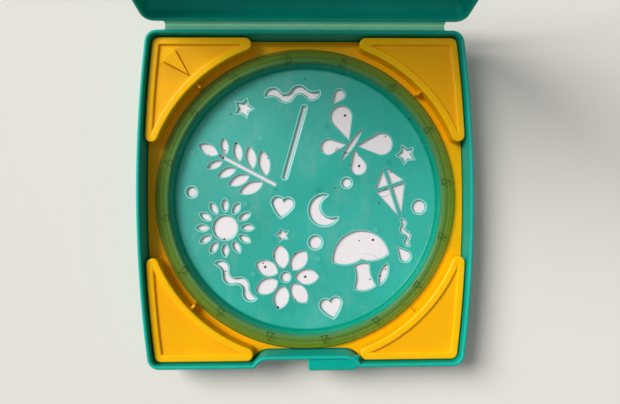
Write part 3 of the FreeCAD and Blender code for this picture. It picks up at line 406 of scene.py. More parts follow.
def case_loop(case, inset):
    """The case's plan outline, set in all round."""
    half = case.depth / 2 - inset
    corner = max(case.corner_radius - inset, case.least_round)
    side = case.side_radius() - inset
    centre = (-case.side_centre(), 0)
    corner_y = half - corner
    corner_x = math.sqrt((side - corner) ** 2 - corner_y ** 2) - case.side_centre()
    lean = bearing(centre, (corner_x, corner_y))
    right, front_end = front_half(case, inset)
    right += run(front_end, (corner_x, -half), 10)
    right += arc((corner_x, -corner_y), corner, -math.pi / 2, -lean, 10)
    right += arc(centre, side, -lean, lean, 36)
    right += arc((corner_x, corner_y), corner, lean, math.pi / 2, 10)
    right += run((corner_x, half), (0, half), 14)
    right.append((0, half))
    return both_halves(right)


class Shell:
    """Points and faces of a piece as they are laid down; a mark above 0 draws a point paler, below 0 darker:
    marks of use, witness marks, painted highlights and painted shade.
    """

    def __init__(self):
        self.points = []
        self.faces = []
        self.wear_and_light_at = {}

    def ring(self, loop, level, wear_and_light=0.0):
        first = len(self.points)
        self.points.extend((x, y, level) for x, y in loop)
        added = list(range(first, len(self.points)))
        self.wear_and_light_at.update((index, wear_and_light) for index in added)
        return added

    def bridge(self, first, second):
        """Faces between two rings of as many points."""
        for index in range(len(first)):
            self.faces.append((first[index - 1], first[index], second[index], second[index - 1]))

    def stack(self, loops):
        """Rings over one another with walls between them; gives back the first and last."""
        rings = [self.ring(*loop) for loop in loops]
        for lower, upper in zip(rings, rings[1:]):
            self.bridge(lower, upper)
        return rings[0], rings[-1]

    def solid(self, loops):
        """Rings over one another, closed at both ends by a flat face."""
        first, last = self.stack(loops)
        self.fill(first)
        self.fill(last)

    def distinct(self, ring):
        """A ring's points without those that lie on the one before."""
        kept = []
        for index in ring:
            before = self.points[kept[-1] if kept else ring[-1]]
            if math.dist(self.points[index], before) > MERGE:
                kept.append(index)
        return kept

    def fill(self, outer, *holes):
        """A flat face between rings that lie in one level."""
        rings = [outer, *holes]
        members = [index for ring in rings for index in ring]
        level = self.points[outer[0]][2]
        flat = [Vector(self.points[index][:2]) for index in members]
        edges = []
        first = 0
        for ring in rings:
            for step in range(len(ring)):
                edges.append((first + step, first + (step + 1) % len(ring)))
            first += len(ring)
        within_edges, tolerance = 1, 1e-8
        places, _, triangles, sources, _, _ = delaunay_2d_cdt(flat, edges, [], within_edges, tolerance)
        names = []
        for place, source in zip(places, sources):
            if source:
                names.append(members[source[0]])
            else:
                names.append(len(self.points))
                self.points.append((place.x, place.y, level))
        # a triangle is kept if a line from its middle crosses the rings an odd number of times
        ends = np.array([(*flat[first], *flat[second]) for first, second in edges])
        ends = ends[ends[:, 1] != ends[:, 3]]
        slope = (ends[:, 2] - ends[:, 0]) / (ends[:, 3] - ends[:, 1])
        for triangle in triangles:
            x, y = sum((places[corner] for corner in triangle), Vector((0, 0))) / 3
            passed = (ends[:, 1] > y) != (ends[:, 3] > y)
            crossed = passed & (x < slope * (y - ends[:, 1]) + ends[:, 0])
            if np.count_nonzero(crossed) % 2:
                self.faces.append(tuple(names[corner] for corner in triangle))

    def mesh(self, name):
        """A closed mesh with its faces pointing outwards."""
        work = bmesh.new()
        layer = work.verts.layers.float.new("worn_and_lit")
        corners = [work.verts.new(point) for point in self.points]
        for index, wear_and_light in self.wear_and_light_at.items():
            corners[index][layer] = wear_and_light
        for face in self.faces:
            kept = [corners[index] for index in dict.fromkeys(face)]
            if len(kept) > 2:
                work.faces.new(kept)
        bmesh.ops.remove_doubles(work, verts=work.verts, dist=MERGE)
        bmesh.ops.dissolve_degenerate(work, edges=work.edges, dist=MERGE)
        bmesh.ops.recalc_face_normals(work, faces=work.faces)
        data = bpy.data.meshes.new(name)
        work.to_mesh(data)
        work.free()
        return data


def place(name, data):
    thing = bpy.data.objects.new(name, data)
    bpy.context.scene.collection.objects.link(thing)
    return thing


def bake(thing):
    """Turns an object with modifiers into a plain mesh."""
    graph = bpy.context.evaluated_depsgraph_get()
    data = bpy.data.meshes.new_from_object(thing.evaluated_get(graph), depsgraph=graph)
    old = thing.data
    thing.modifiers.clear()
    thing.data = data
    if old.users == 0:
        bpy.data.meshes.remove(old)
    return thing


def united(first, second):
    """Two closed shells made one."""
    joining = first.modifiers.new("Union", "BOOLEAN")
    joining.operation = "UNION"
    joining.solver = "EXACT"
    joining.object = second
    bake(first)
    bpy.data.objects.remove(second)
    if len(first.data.polygons) == 0:
        raise RuntimeError(f"{first.name}: its shells could not be joined")
    return first


def shade(thing, degrees=32):
    """Smooth shading that stays flat on the flats and sharp at real corners."""
    thing.data.shade_smooth()
    thing.data.set_sharp_from_angle(angle=math.radians(degrees))
    weighing = thing.modifiers.new("Shading", "WEIGHTED_NORMAL")
    weighing.keep_sharp = True
    return bake(thing)


def rub(thing, amount):
    """Keeps on each point how much paler it is drawn: marks of handling and a painted sheen on the trays'
    rims, the stretched line on the hinge.
    """
    layer = thing.data.attributes.get("worn_and_lit") or thing.data.attributes.new("worn_and_lit", "FLOAT", "POINT")
    layer.data.foreach_set("value", [amount(vertex.co) for vertex in thing.data.vertices])


def finish(thing, material, slot, body, *nodes):
    thing.data.materials.clear()
    thing.data.materials.append(material)
    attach(thing, body)
    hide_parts(*nodes)
    return thing


def linear(screen, light=1.0):
    """A screen colour as the shaders take it, darker if its light is below 1."""
    parts = [part / 12.92 if part <= 0.04045 else ((part + 0.055) / 1.055) ** 2.4 for part in screen]
    return (*(part * light for part in parts), 1.0)


class Tree:
    """A node tree, made and linked by short calls."""

    def __init__(self, tree):
        self.tree = tree

    def node(self, kind, settings=None, **sockets):
        """A node with its settings, and with values or links for its inputs by name."""
        made = self.tree.nodes.new(kind)
        for name, value in (settings or {}).items():
            setattr(made, name, value)
        for name, value in sockets.items():
            self.put(made.inputs[name.replace("_", " ")], value)
        return made

    def numbered(self, kind, settings, *values):
        """A node whose inputs are given in their order."""
        made = self.node(kind, settings)
        for socket, value in zip(made.inputs, values):
            self.put(socket, value)
        return made

    def put(self, socket, value):
        if isinstance(value, bpy.types.NodeSocket):
            self.tree.links.new(value, socket)
        else:
            socket.default_value = value

    def maths(self, operation, first, second):
        return self.numbered("ShaderNodeMath", {"operation": operation}, first, second).outputs["Value"]

    def vectors(self, operation, *values):
        return self.numbered("ShaderNodeVectorMath", {"operation": operation}, *values).outputs

    def spread(self, value, low, high, to_low=0.0, to_high=1.0):
        made = self.node(
            "ShaderNodeMapRange", Value=value, From_Min=low, From_Max=high, To_Min=to_low, To_Max=to_high)
        return made.outputs["Result"]


class Nodes(Tree):
    """A material's node tree."""

    def __init__(self, name):
        self.material = bpy.data.materials.new(name)
        self.material.use_nodes = True
        super().__init__(self.material.node_tree)
        self.tree.nodes.clear()
        self.out = self.node("ShaderNodeOutputMaterial")
        self.where = self.node("ShaderNodeTexCoord").outputs["Object"]

    def noise(self, scale, detail=3.0, roughness=0.5, stretch=None):
        where = self.where
        if stretch:
            where = self.node("ShaderNodeMapping", Vector=where, Scale=stretch).outputs["Vector"]
        made = self.node("ShaderNodeTexNoise", Vector=where, Scale=scale, Detail=detail, Roughness=roughness)
        return made.outputs["Fac"]

    def cloud(self, scale, detail):
        """Large soft patches."""
        return self.spread(self.noise(scale, detail), 0.36, 0.64)

    def wear_and_light(self):
        return self.node("ShaderNodeAttribute", {"attribute_name": "worn_and_lit"}).outputs["Fac"]

    def blend(self, share_of_second, first, second):
        made = self.node("ShaderNodeMix", {"data_type": "RGBA"}, Factor=share_of_second)
        colours = [socket for socket in made.inputs if socket.type == "RGBA"]
        self.put(colours[0], first)
        self.put(colours[1], second)
        return next(socket for socket in made.outputs if socket.type == "RGBA")

    def bump(self, height, strength, distance):
        made = self.node("ShaderNodeBump", Height=height, Strength=strength, Distance=distance)
        return made.outputs["Normal"]

    def surface(self, shader):
        self.put(self.out.inputs["Surface"], shader)
        return self.material

    def principled(self, **sockets):
        """The material, with one shader all over."""
        return self.surface(self.node("ShaderNodeBsdfPrincipled", **sockets).outputs["BSDF"])


def moulded_colour(nodes, tones, worn_and_lit_most):
    """Cloudy colour of a moulding, paler for marks of use and painted highlights, darker where shade is
    painted.
    """
    body = nodes.blend(nodes.cloud(38.0, 4.0), linear(tones.shade), linear(tones.colour))
    wear_and_light_at = nodes.wear_and_light()
    patchy = nodes.spread(nodes.noise(260.0, 5.0, 0.6), 0.3, 0.75, 0.45, 1.0)
    worn_and_lit = nodes.maths("MULTIPLY", nodes.spread(wear_and_light_at, 0.0, 1.0, 0.0, worn_and_lit_most), patchy)
    body = nodes.blend(worn_and_lit, body, linear(tones.worn_and_lit))
    # marks below 0 are painted shade, along the arrow
    painted_shade = nodes.spread(wear_and_light_at, -1.0, 0.0, PAINTED_SHADE_MOST, 0.0)
    return nodes.blend(painted_shade, body, linear(tones.shade, PAINTED_SHADE_LIGHT))


def moulded_plastic(name, tones, smooth, rough, grain, worn_and_lit_most, gloss, **more):
    """Moulded plastic: fine grain from the mould, shiny and dull patches, short scuffs."""
    nodes = Nodes(name)
    patches = nodes.spread(nodes.noise(70.0, 5.0, 0.6), 0.3, 0.7, smooth, rough)
    scuffs = nodes.spread(nodes.noise(420.0, 2.0, stretch=(1.0, 0.12, 1.0)), 0.66, 0.74, 0.0, 0.12)
    fine = nodes.maths("MULTIPLY", nodes.noise(2600.0, 2.0), grain)
    waves = nodes.maths("MULTIPLY", nodes.noise(120.0, 2.0), 0.1)
    grained = nodes.bump(nodes.maths("ADD", fine, waves), strength=0.16, distance=0.0001)
    return nodes.principled(
        Base_Color=moulded_colour(nodes, tones, worn_and_lit_most), Roughness=nodes.maths("ADD", patches, scuffs),
        Normal=grained, IOR=1.49, Specular_IOR_Level=gloss, **more)


def tray_levels(case, height, inner_round):
    """Inset and level of each ring of a tray, from under its floor round the rim to its inside."""
    lean = math.tan(case.draft)
    foot = case.foot_round
    foot_inset = (height - foot) * lean
    rings = [(foot_inset + foot + FLAT_EDGE, 0.0)]
    rings += [(foot_inset + foot * (1 - sine), foot * (1 - cosine)) for sine, cosine in quarter(8)]
    rim = case.rim_soft
    rings += [(rim * (1 - cosine), height - rim + rim * sine) for sine, cosine in quarter(4)]
    rings += [(case.wall - rim + rim * sine, height - rim + rim * cosine) for sine, cosine in quarter(4)]
    inner = case.wall + (height - case.floor - inner_round) * lean
    rings += [
        (inner + inner_round * (1 - cosine), case.floor + inner_round * (1 - sine))
        for sine, cosine in quarter(12)]
    rings.append((inner + inner_round + FLAT_EDGE, case.floor))
    return rings


def tab_loop(case, inset):
    """Plan of the finger tab: a squarer end, a rounder end, its root inside the wall."""
    left = case.tab_start + inset
    right = case.tab_start + case.tab_length - inset
    front = inset - case.depth / 2 - case.tab_overhang
    root = case.recess_depth + case.tab_root - case.depth / 2
    square = case.tab_square - inset
    blunt = case.tab_blunt - inset
    points = run((left, root), (left, front + square), 4)
    points += arc((left + square, front + square), square, math.pi, 1.5 * math.pi, 6)
    points += run((left + square, front), (right - blunt, front), 12)
    points += arc((right - blunt, front + blunt), blunt, -math.pi / 2, 0, 10)
    points += run((right, front + blunt), (right, root), 4)
    points += run((right, root), (left, root), 12)
    return points


def tray(name, case, height, inner_round):
    """A tray that opens upwards, with its finger tab."""
    shell = Shell()
    shell.solid([(case_loop(case, inset), level) for inset, level in tray_levels(case, height, inner_round)])
    body = place(name, shell.mesh(name))

    top = height - case.tab_step
    low = top - case.tab_thickness
    bend = case.tab_round
    loops = [(tab_loop(case, bend * (1 - sine)), low + bend * (1 - cosine)) for sine, cosine in quarter(4)]
    loops += [(tab_loop(case, bend * (1 - cosine)), top - bend + bend * sine) for sine, cosine in quarter(4)]
    tab = Shell()
    tab.solid(loops)
    united(body, place(f"{name}_tab", tab.mesh(f"{name}_tab")))

    def amount(point):
        # rims drawn paler for handling and as a painted sheen; the tab a little paler
        if point.z > height - case.worn_and_lit_depth:
            return 1.0
        return case.rubbed_tab if point.y < -case.depth / 2 - MERGE else 0.0

    rub(body, amount)
    return body


def settings(context):
    return context.scene.drawing_case


def case_material(case):
    return bpy.data.materials.get("case_teal") or moulded_plastic(
        "case_teal", case, smooth=0.42, rough=0.48, grain=0.5, worn_and_lit_most=0.6, gloss=0.12)


class DRAWCASE_OT_base(bpy.types.Operator):
    """Builds the base tray"""

    bl_idname = "drawing_case.base"
    bl_label = "Base tray"

    def execute(self, context):
        case = settings(context).case
        base = shade(tray("base_tray", case, case.base_height, case.base_round))
        finish(base, case_material(case), "case_plastic", "base", "case_base")
        return {"FINISHED"}


class DRAWCASE_OT_lid(bpy.types.Operator):
    """Builds the lid tray, turned over and opened about the hinge"""

    bl_idname = "drawing_case.lid"
    bl_label = "Lid tray"

    def execute(self, context):
        case = settings(context).case
        lid = tray("lid_tray", case, case.lid_height, case.lid_round)
        hinge = Vector(LID_JOINT["pos_m"])
        opened = math.radians(LID_JOINT["range_deg"][0])
        shut_top = case.base_height + case.rim_gap + case.lid_height
        lid.data.transform(
            Matrix.Translation(hinge) @ Matrix.Rotation(opened, 4, "X")
            @ Matrix.Translation((0, -hinge.y, shut_top - hinge.z)) @ Matrix.Rotation(math.pi, 4, "Y"))
        finish(shade(lid), case_material(case), "case_plastic", "lid", "case_lid")
        return {"FINISHED"}


def strip_shell(strip, bend, centre, half_turn):
    """The hinge strip: an inner and an outer curved face, and the border between them."""
    across, along = 28, 60
    shell = Shell()
    for outer in (False, True):
        for row in range(across + 1):
            part = row / across
            turn = -math.pi / 2 + 2 * half_turn * part
            fold = math.exp(-((part - 0.5) / strip.crease_width) ** 2) * strip.crease
            radius = bend + strip.thickness * (1 if outer else fold)
            half = WEB_HIGH.x - strip.notch * math.sqrt(max(0.0, 1 - (2 * part - 1) ** 2))
            y = centre[0] + radius * math.cos(turn)
            z = centre[1] + radius * math.sin(turn)
            shell.points += [(half * (2 * step / along - 1), y, z) for step in range(along + 1)]
    row_size = along + 1
    sheet = row_size * (across + 1)
    for first in (0, sheet):
        for row in range(across):
            for step in range(along):
                corner = first + row * row_size + step
                shell.faces.append((corner, corner + 1, corner + row_size + 1, corner + row_size))
    border = list(range(row_size))
    border += [row * row_size + along for row in range(1, across + 1)]
    border += [across * row_size + step for step in range(along - 1, -1, -1)]
    border += [row * row_size for row in range(across - 1, 0, -1)]
    for first, second in zip(border, border[1:] + border[:1]):
        shell.faces.append((first, second, second + sheet, first + sheet))
    return shell


class DRAWCASE_OT_hinge(bpy.types.Operator):
    """Builds the flexible strip that joins the trays"""

    bl_idname = "drawing_case.hinge"
    bl_label = "Hinge strip"

    def execute(self, context):
        case = settings(context).case
        strip = settings(context).hinge
        hinge = Vector(LID_JOINT["pos_m"])
        half_turn = math.pi / 2 + math.radians(LID_JOINT["range_deg"][0]) / 2
        drop = case.rim_round + case.rim_gap / 2
        back = case.depth / 2
        bend = (hinge.y - back + drop * math.tan(half_turn)) / math.tan(half_turn)
        centre = (back, hinge.z - drop + bend)
        shell = strip_shell(strip, bend, centre, half_turn)
        web = place("hinge_strip", shell.mesh("hinge_strip"))
        middle = centre[1] - bend * math.cos(half_turn)

        def amount(point):
            return math.exp(-((point.z - middle) / strip.pale_width) ** 2)

        rub(web, amount)
        shade(web)
        web.data.materials.clear()
        web.data.materials.append(moulded_plastic(
            "hinge_pale", strip, smooth=0.34, rough=0.46, grain=0.3, worn_and_lit_most=0.8, gloss=0.2,
            Subsurface_Weight=strip.glow, Subsurface_Radius=(1.0, 1.0, 1.0),
            Subsurface_Scale=strip.glow_depth))
        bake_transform(web)
        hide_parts("hinge_web")
        return {"FINISHED"}


class BlockPlan:
    """Plan curves of the back right corner block, set in by any amount."""

    side_steps, corner_steps, edge_steps, tip_steps, scoop_steps = 14, 8, 12, 12, 30

    def __init__(self, case, holder):
        self.holder = holder
        self.edge = case.depth / 2 - holder.inset
        self.side = case.side_radius() - holder.inset
        self.side_centre = (-case.side_centre(), 0)
        self.corner = case.corner_radius - holder.inset
        self.least = case.least_round
        self.end = (holder.block_end, self.edge - holder.tip_radius)
        reach = self.side - holder.tip_radius
        flank_x = math.sqrt(reach ** 2 - holder.block_flank ** 2) - case.side_centre()
        self.flank = (flank_x, holder.block_flank)
        ahead = self.flank[0] ** 2 + self.flank[1] ** 2 - self.end[0] ** 2 - self.end[1] ** 2
        self.middle = (ahead / (2 * (self.flank[0] - self.end[0])), 0)
        self.scoop = math.hypot(self.end[0] - self.middle[0], self.end[1]) - holder.tip_radius

    def corner_point(self, inset):
        radius = max(self.corner - inset, self.least)
        y = self.edge - inset - radius
        x = math.sqrt((self.side - inset - radius) ** 2 - y ** 2) + self.side_centre[0]
        return (x, y), radius

    def parts(self, inset):
        """Outer part from the side's tip to the end's tip, and inner part back again."""
        edge = self.edge - inset
        side = self.side - inset
        hollow = self.scoop + inset
        tip = self.holder.tip_radius - inset
        if tip > 0:
            end, flank = self.end, self.flank
            corner, round_corner = self.corner_point(inset)
            turn_end = bearing(self.middle, end)
            turn_flank = bearing(self.middle, flank)
            side_start = bearing(self.side_centre, flank)
            side_end = bearing(self.side_centre, corner)
            outer = arc(self.side_centre, side, side_start, side_end, self.side_steps)
            outer += arc(corner, round_corner, side_end, math.pi / 2, self.corner_steps)
            outer += run((corner[0], edge), (end[0], edge), self.edge_steps)
            inner = arc(end, tip, math.pi / 2, turn_end + math.pi, self.tip_steps)
            inner += arc(self.middle, hollow, turn_end, turn_flank, self.scoop_steps)
            inner += arc(flank, tip, turn_flank + math.pi, side_start + 2 * math.pi, self.tip_steps)
            return outer, inner
        # past the tips' radius the three edges meet in points
        corner = (math.sqrt(side ** 2 - edge ** 2) + self.side_centre[0], edge)
        end = (math.sqrt(hollow ** 2 - edge ** 2) + self.middle[0], edge)
        apart = self.middle[0] - self.side_centre[0]
        flank_x = (side ** 2 - hollow ** 2 + apart ** 2) / (2 * apart) + self.side_centre[0]
        flank = (flank_x, math.sqrt(side ** 2 - (flank_x - self.side_centre[0]) ** 2))
        side_start = bearing(self.side_centre, flank)
        side_end = bearing(self.side_centre, corner)
        outer = arc(self.side_centre, side, side_start, side_end, self.side_steps)
        outer += [corner] * self.corner_steps
        outer += run(corner, end, self.edge_steps)
        inner = [end] * self.tip_steps
        inner += arc(
            self.middle, hollow, bearing(self.middle, end), bearing(self.middle, flank), self.scoop_steps)
        inner += [flank] * self.tip_steps
        return outer, inner

    def loop(self, inset, side_x, side_y):
        outer, inner = self.parts(inset)
        points = [(x * side_x, y * side_y) for x, y in outer + inner]
        return points if side_x * side_y > 0 else points[::-1]


def holder_loops(case, holder, plan):
    """The holder's outer outline, and the plate's outline inside the blocks."""
    outer, inner = plan.parts(0)
    start = plan.side_centre
    flank_turn = bearing(start, plan.flank)
    flank_end = arc(start, plan.side, flank_turn, flank_turn, 1)
    end_edge = (plan.end[0], plan.edge)
    front, front_end = front_half(case, holder.inset)
    front += run(front_end, (end_edge[0], -end_edge[1]), 4)
    side = arc(start, plan.side, -flank_turn, flank_turn, 16)
    back = run(end_edge, (0, plan.edge), 10) + [(0, plan.edge)]
    wall_there = [(x, -y) for x, y in reversed(outer[1:] + [end_edge])]
    face_there = [(x, -y) for x, y in inner]
    face_back = (inner + flank_end)[::-1][:-1]
    wall = front + wall_there + side + outer + back
    face = front + face_there + side + face_back + back
    return both_halves(wall), both_halves(face)


def block_levels(holder):
    """Inset and level of each ring of a block, from the plate over its bead to the panel."""
    top = HOLDER_HIGH.z
    bead = holder.bead_round
    rings = [(0.0, holder.plate_top), (0.0, (holder.plate_top + top - bead) / 2)]
    rings += [(bead * (1 - cosine), top - bead + bead * sine) for sine, cosine in quarter(8)]
    lean = math.tan(holder.panel_slope)
    steep = math.pi / 2 - holder.panel_slope
    bend = holder.bead_inner
    fall = bend * (1 - math.cos(steep))
    start = holder.bead_width + fall * lean - bend * math.sin(steep)
    rings.append(((bead + start) / 2, top))
    for step in range(6):
        turn = steep * step / 5
        rings.append((start + bend * math.sin(turn), top - bend * (1 - math.cos(turn))))
    panel = top - holder.panel_depth
    foot = holder.bead_width + holder.panel_depth * lean
    rings += [(foot + past, panel + above) for past, above in PANEL_FOOT]
    return rings


class ArrowPlan:
    """The moulded arrow: a ramp that sinks to its point, with a groove along each long side."""

    steps = 10
    # How far short of the point a line stops when it is set in to the middle
    short = 0.4
    # Steps along a groove until it has its full depth, and that depth against its width
    run_in = 2
    hollow = 0.55
    # Painted shade along the panel's edge, the groove's bottom and the edge of the ramp, and a painted
    # highlight across the base
    wear_and_light = {"edge": -0.3, "deep": -1.0, "ramp": -0.05}
    base_highlight = 1.0

    def __init__(self, case, holder):
        self.base = Vector((holder.arrow_side - case.width / 2, case.depth / 2 - holder.arrow_back))
        self.along = Vector((1, -1)).normalized()
        self.across = Vector((1, 1)).normalized()
        self.length = holder.arrow_length
        self.half = holder.arrow_width / 2
        self.depth = holder.arrow_depth
        self.groove = holder.arrow_groove

    def spot(self, level, part, side, set_in, sunk):
        """A point on a long side, set in towards the middle and sunk below the panel."""
        reach = self.length * (1 - self.short * set_in / self.half)
        wide = (self.half - set_in) * (1 - part)
        place_at = self.base + self.along * (reach * part) + self.across * (wide * side)
        fall = self.depth * part * reach / self.length + sunk * min(1.0, part * self.steps / self.run_in)
        return (place_at.x, place_at.y, level - fall)

    def cut(self, shell, panel):
        """The panel with the arrow let into it."""
        level = shell.points[panel[0]][2]
        set_ins = {"edge": 0.0, "deep": self.groove / 2, "ramp": self.groove}
        lines = {}
        for side in (-1, 1):
            for name, set_in in set_ins.items():
                sunk = self.groove * self.hollow if name == "deep" else 0.0
                line = []
                for step in range(self.steps + 1):
                    if step == self.steps and side == 1:
                        line.append(lines[name, -1][-1])
                        continue
                    x, y, z = self.spot(level, step / self.steps, side, set_in, sunk)
                    line.append(len(shell.points))
                    shell.points.append((x, y, level if name == "edge" else z))
                    shell.wear_and_light_at[line[-1]] = self.wear_and_light[name] if step else self.base_highlight
                lines[name, side] = line
        order = [lines[name, -1] for name in set_ins] + [lines[name, 1] for name in reversed(set_ins)]
        ring = [line[0] for line in order] + order[-1][1:] + order[0][-2:0:-1]
        shell.fill(panel, ring)
        for one, two in zip(order, order[1:]):
            for step in range(self.steps):
                shell.faces.append((one[step], two[step], two[step + 1], one[step + 1]))


def rounded_box(low, high, bevel, turn):
    """A small upright block with round edges, turned about the Z axis; its points and faces."""
    work = bmesh.new()
    bmesh.ops.create_cube(work, size=1.0)
    size = Vector(high) - Vector(low)
    middle = (Vector(high) + Vector(low)) / 2
    bmesh.ops.scale(work, vec=size, verts=work.verts)
    bmesh.ops.translate(work, vec=middle, verts=work.verts)
    bmesh.ops.bevel(work, geom=work.edges[:], offset=bevel, segments=3, profile=0.5, affect="EDGES")
    bmesh.ops.rotate(work, cent=(0, 0, 0), matrix=Matrix.Rotation(turn, 3, "Z"), verts=work.verts)
    work.verts.index_update()
    points = [tuple(vertex.co) for vertex in work.verts]
    faces = [tuple(vertex.index for vertex in face.verts) for face in work.faces]
    work.free()
    return points, faces


def holder_shell(case, holder):
    """The holder's plate, skirt and corner blocks."""
    plan = BlockPlan(case, holder)
    shell = Shell()
    wall, face = holder_loops(case, holder, plan)
    top = holder.plate_top
    under = top - holder.plate
    bend = holder.edge_round
    hole = holder.hole_radius

    edge = ((bend, 0.0), (bend * ROUND_MIDDLE, bend * ROUND_MIDDLE), (0.0, bend), (0.0, holder.plate))
    rim, underside = shell.stack([(circle(hole + out, HOLE_POINTS), top - down) for out, down in edge])
    shell.fill(shell.ring(face, top), rim)
    _, foot = shell.stack([(wall, top), (wall, HOLDER_LOW.z)])
    inner = case_loop(case, holder.inset + holder.skirt)
    inner_foot, inner_top = shell.stack([(inner, HOLDER_LOW.z), (inner, under)])
    shell.fill(foot, inner_foot)
    cores = []
    core_top = HOLDER_HIGH.z - holder.panel_depth - holder.shell
    for corner in CORNERS:
        core = plan.loop(holder.shell, *corner)
        mouth, roof = shell.stack([(core, under), (core, core_top)])
        shell.fill(roof)
        cores.append(mouth)
    shell.fill(inner_top, underside, *cores)
    # Beads above this level are drawn paler: marks of handling, and a painted highlight
    bead_low = HOLDER_HIGH.z - holder.panel_depth / 2
    for corner in CORNERS:
        _, panel = shell.stack([
            (plan.loop(inset, *corner), level, holder.worn_and_lit_bead if level > bead_low else 0.0)
            for inset, level in block_levels(holder)])
        panel = shell.distinct(panel)
        if corner == ARROW_CORNER:
            ArrowPlan(case, holder).cut(shell, panel)
        else:
            shell.fill(panel)
    return shell


def rib_shell(holder):
    """The four guide ribs, a quarter turn apart."""
    top = holder.plate_top
    half = holder.rib_width / 2
    shell = Shell()
    for number in range(4):
        points, faces = rounded_box(
            (holder.rib_start, -half, top - holder.rib_root),
            (holder.rib_start + holder.rib_length, half, top + holder.rib_height),
            holder.rib_round, holder.rib_turn + number * math.pi / 2)
        first = len(shell.points)
        shell.points += points
        shell.faces += [tuple(first + index for index in face) for face in faces]
    return shell


class DRAWCASE_OT_holder(bpy.types.Operator):
    """Builds the yellow holder: plate, skirt, corner blocks, guide ribs and arrow"""

    bl_idname = "drawing_case.holder"
    bl_label = "Holder"

    def execute(self, context):
        holder = settings(context).holder
        thing = place("yellow_holder", holder_shell(settings(context).case, holder).mesh("yellow_holder"))
        united(thing, place("guide_ribs", rib_shell(holder).mesh("guide_ribs")))
        yellow = moulded_plastic(
            "holder_yellow", holder, smooth=0.24, rough=0.38, grain=0.3, worn_and_lit_most=0.7, gloss=0.16)
        finish(shade(thing), yellow, "holder_plastic", "holder", "holder_frame")
        return {"FINISHED"}


def cut_out_loops(level):
    """Outlines of the stencil's cut-outs, followed round the CAD disc's floor at a level."""
    data = frame["nodes"]["stencil_disc"].data
    per_metre = 2e6  # points closer than about half a micrometre count as one
    names = {}
    spots = []
    index_of = []
    for vertex in data.vertices:
        key = tuple(round(part * per_metre) for part in vertex.co)
        if key not in names:
            names[key] = len(spots)
            spots.append(vertex.co.copy())
        index_of.append(names[key])
    sides = {}  # used as a set that keeps its order
    for polygon in data.polygons:
        corners = [index_of[index] for index in polygon.vertices]
        if any(abs(spots[corner].z - level) > MERGE for corner in corners):
            continue
        for first, second in zip(corners, corners[1:] + corners[:1]):
            sides[(first, second)] = True
    after = {first: second for first, second in sides if (second, first) not in sides}
    loops = []
    while after:
        start = next(iter(after))
        loop = [start]
        here = after.pop(start)
        while here != start:
            loop.append(here)
            here = after.pop(here)
        loops.append([(spots[index].x, spots[index].y) for index in loop])
    # the outermost is the edge of the floor itself
    loops.sort(key=lambda loop: max(math.hypot(x, y) for x, y in loop))
    return loops[:-1]


def area(loop):
    return sum(loop[i - 1][0] * loop[i][1] - loop[i][0] * loop[i - 1][1] for i in range(len(loop))) / 2


def widened(loop, distance, slack=0.97):
    """An outline moved outwards, with its points kept in step and drawn together where its sides meet."""
    spots = np.array(loop)
    steps = np.roll(spots, -1, axis=0) - spots
    lengths = np.hypot(steps[:, 0], steps[:, 1])
    facing = np.stack((steps[:, 1], -steps[:, 0]), axis=1) / lengths[:, None]
    both = facing + np.roll(facing, 1, axis=0)
    sizes = np.maximum(np.linalg.norm(both, axis=1), 1e-6)
    moved = spots + both * (distance * np.minimum(2 / sizes, POINT_REACH) / sizes)[:, None]

    along = np.sum((moved[:, None] - spots[None]) * steps[None], axis=2) / lengths ** 2
    nearest = spots[None] + np.clip(along, 0, 1)[:, :, None] * steps[None]
    apart = np.min(np.linalg.norm(moved[:, None] - nearest, axis=2), axis=1)
    clear = apart > distance * slack
    if not clear.any():
        raise RuntimeError("A cut-out is too narrow for its lip")
    total = len(loop)
    first = int(np.argmax(clear))
    index = 1
    while index < total:
        if clear[(first + index) % total]:
            index += 1
            continue
        start = index
        while not clear[(first + index) % total]:
            index += 1
        before, behind = moved[(first + start - 1) % total], moved[(first + index) % total]
        for lost in range(start, index):
            moved[(first + lost) % total] = (before + behind) / 2
    return [tuple(spot) for spot in moved]


def rooms(loops, reach, spacing=0.0003):
    """Room beside each outline: to its nearest neighbour, or twice that to the edge of the flat floor."""
    dense = []
    for loop in loops:
        spots = []
        for first, second in zip(loop, loop[1:] + loop[:1]):
            spots += run(first, second, max(1, int(math.dist(first, second) / spacing)))
        dense.append(np.array(spots))
    free = []
    for index, spots in enumerate(dense):
        others = np.concatenate(dense[:index] + dense[index + 1:])
        apart = np.min(np.linalg.norm(spots[:, None] - others[None], axis=2))
        free.append(min(apart, 2 * (reach - np.max(np.hypot(spots[:, 0], spots[:, 1])))))
    return free


def rounded_path(corners, steps=7):
    """A path of (radius, level) corners, each with the size of its round."""
    path = []
    for index, (x, z, bend) in enumerate(corners):
        here = Vector((x, z))
        if not bend:
            path.append((x, z))
            continue
        back = (Vector(corners[index - 1][:2]) - here).normalized()
        ahead = (Vector(corners[index + 1][:2]) - here).normalized()
        opening = back.angle(ahead)
        reach = bend / math.tan(opening / 2)
        middle = here + (back + ahead).normalized() * (bend / math.sin(opening / 2))
        start = here + back * reach - middle
        end = here + ahead * reach - middle
        turn = start.angle_signed(end)
        for step in range(steps + 1):
            spin = Matrix.Rotation(-turn * step / steps, 2)
            spot = middle + spin @ start
            path.append((spot.x, spot.y))
    return path


def geometry_tree(name, wants):
    """A geometry tree with named inputs; gives back its calls and those inputs."""
    tree = bpy.data.node_groups.new(name, "GeometryNodeTree")
    for label, kind in {"Geometry": "Geometry", **wants}.items():
        tree.interface.new_socket(label, in_out="INPUT", socket_type=f"NodeSocket{kind}")
    tree.interface.new_socket("Geometry", in_out="OUTPUT", socket_type="NodeSocketGeometry")
    work = Tree(tree)
    return work, work.node("NodeGroupInput").outputs


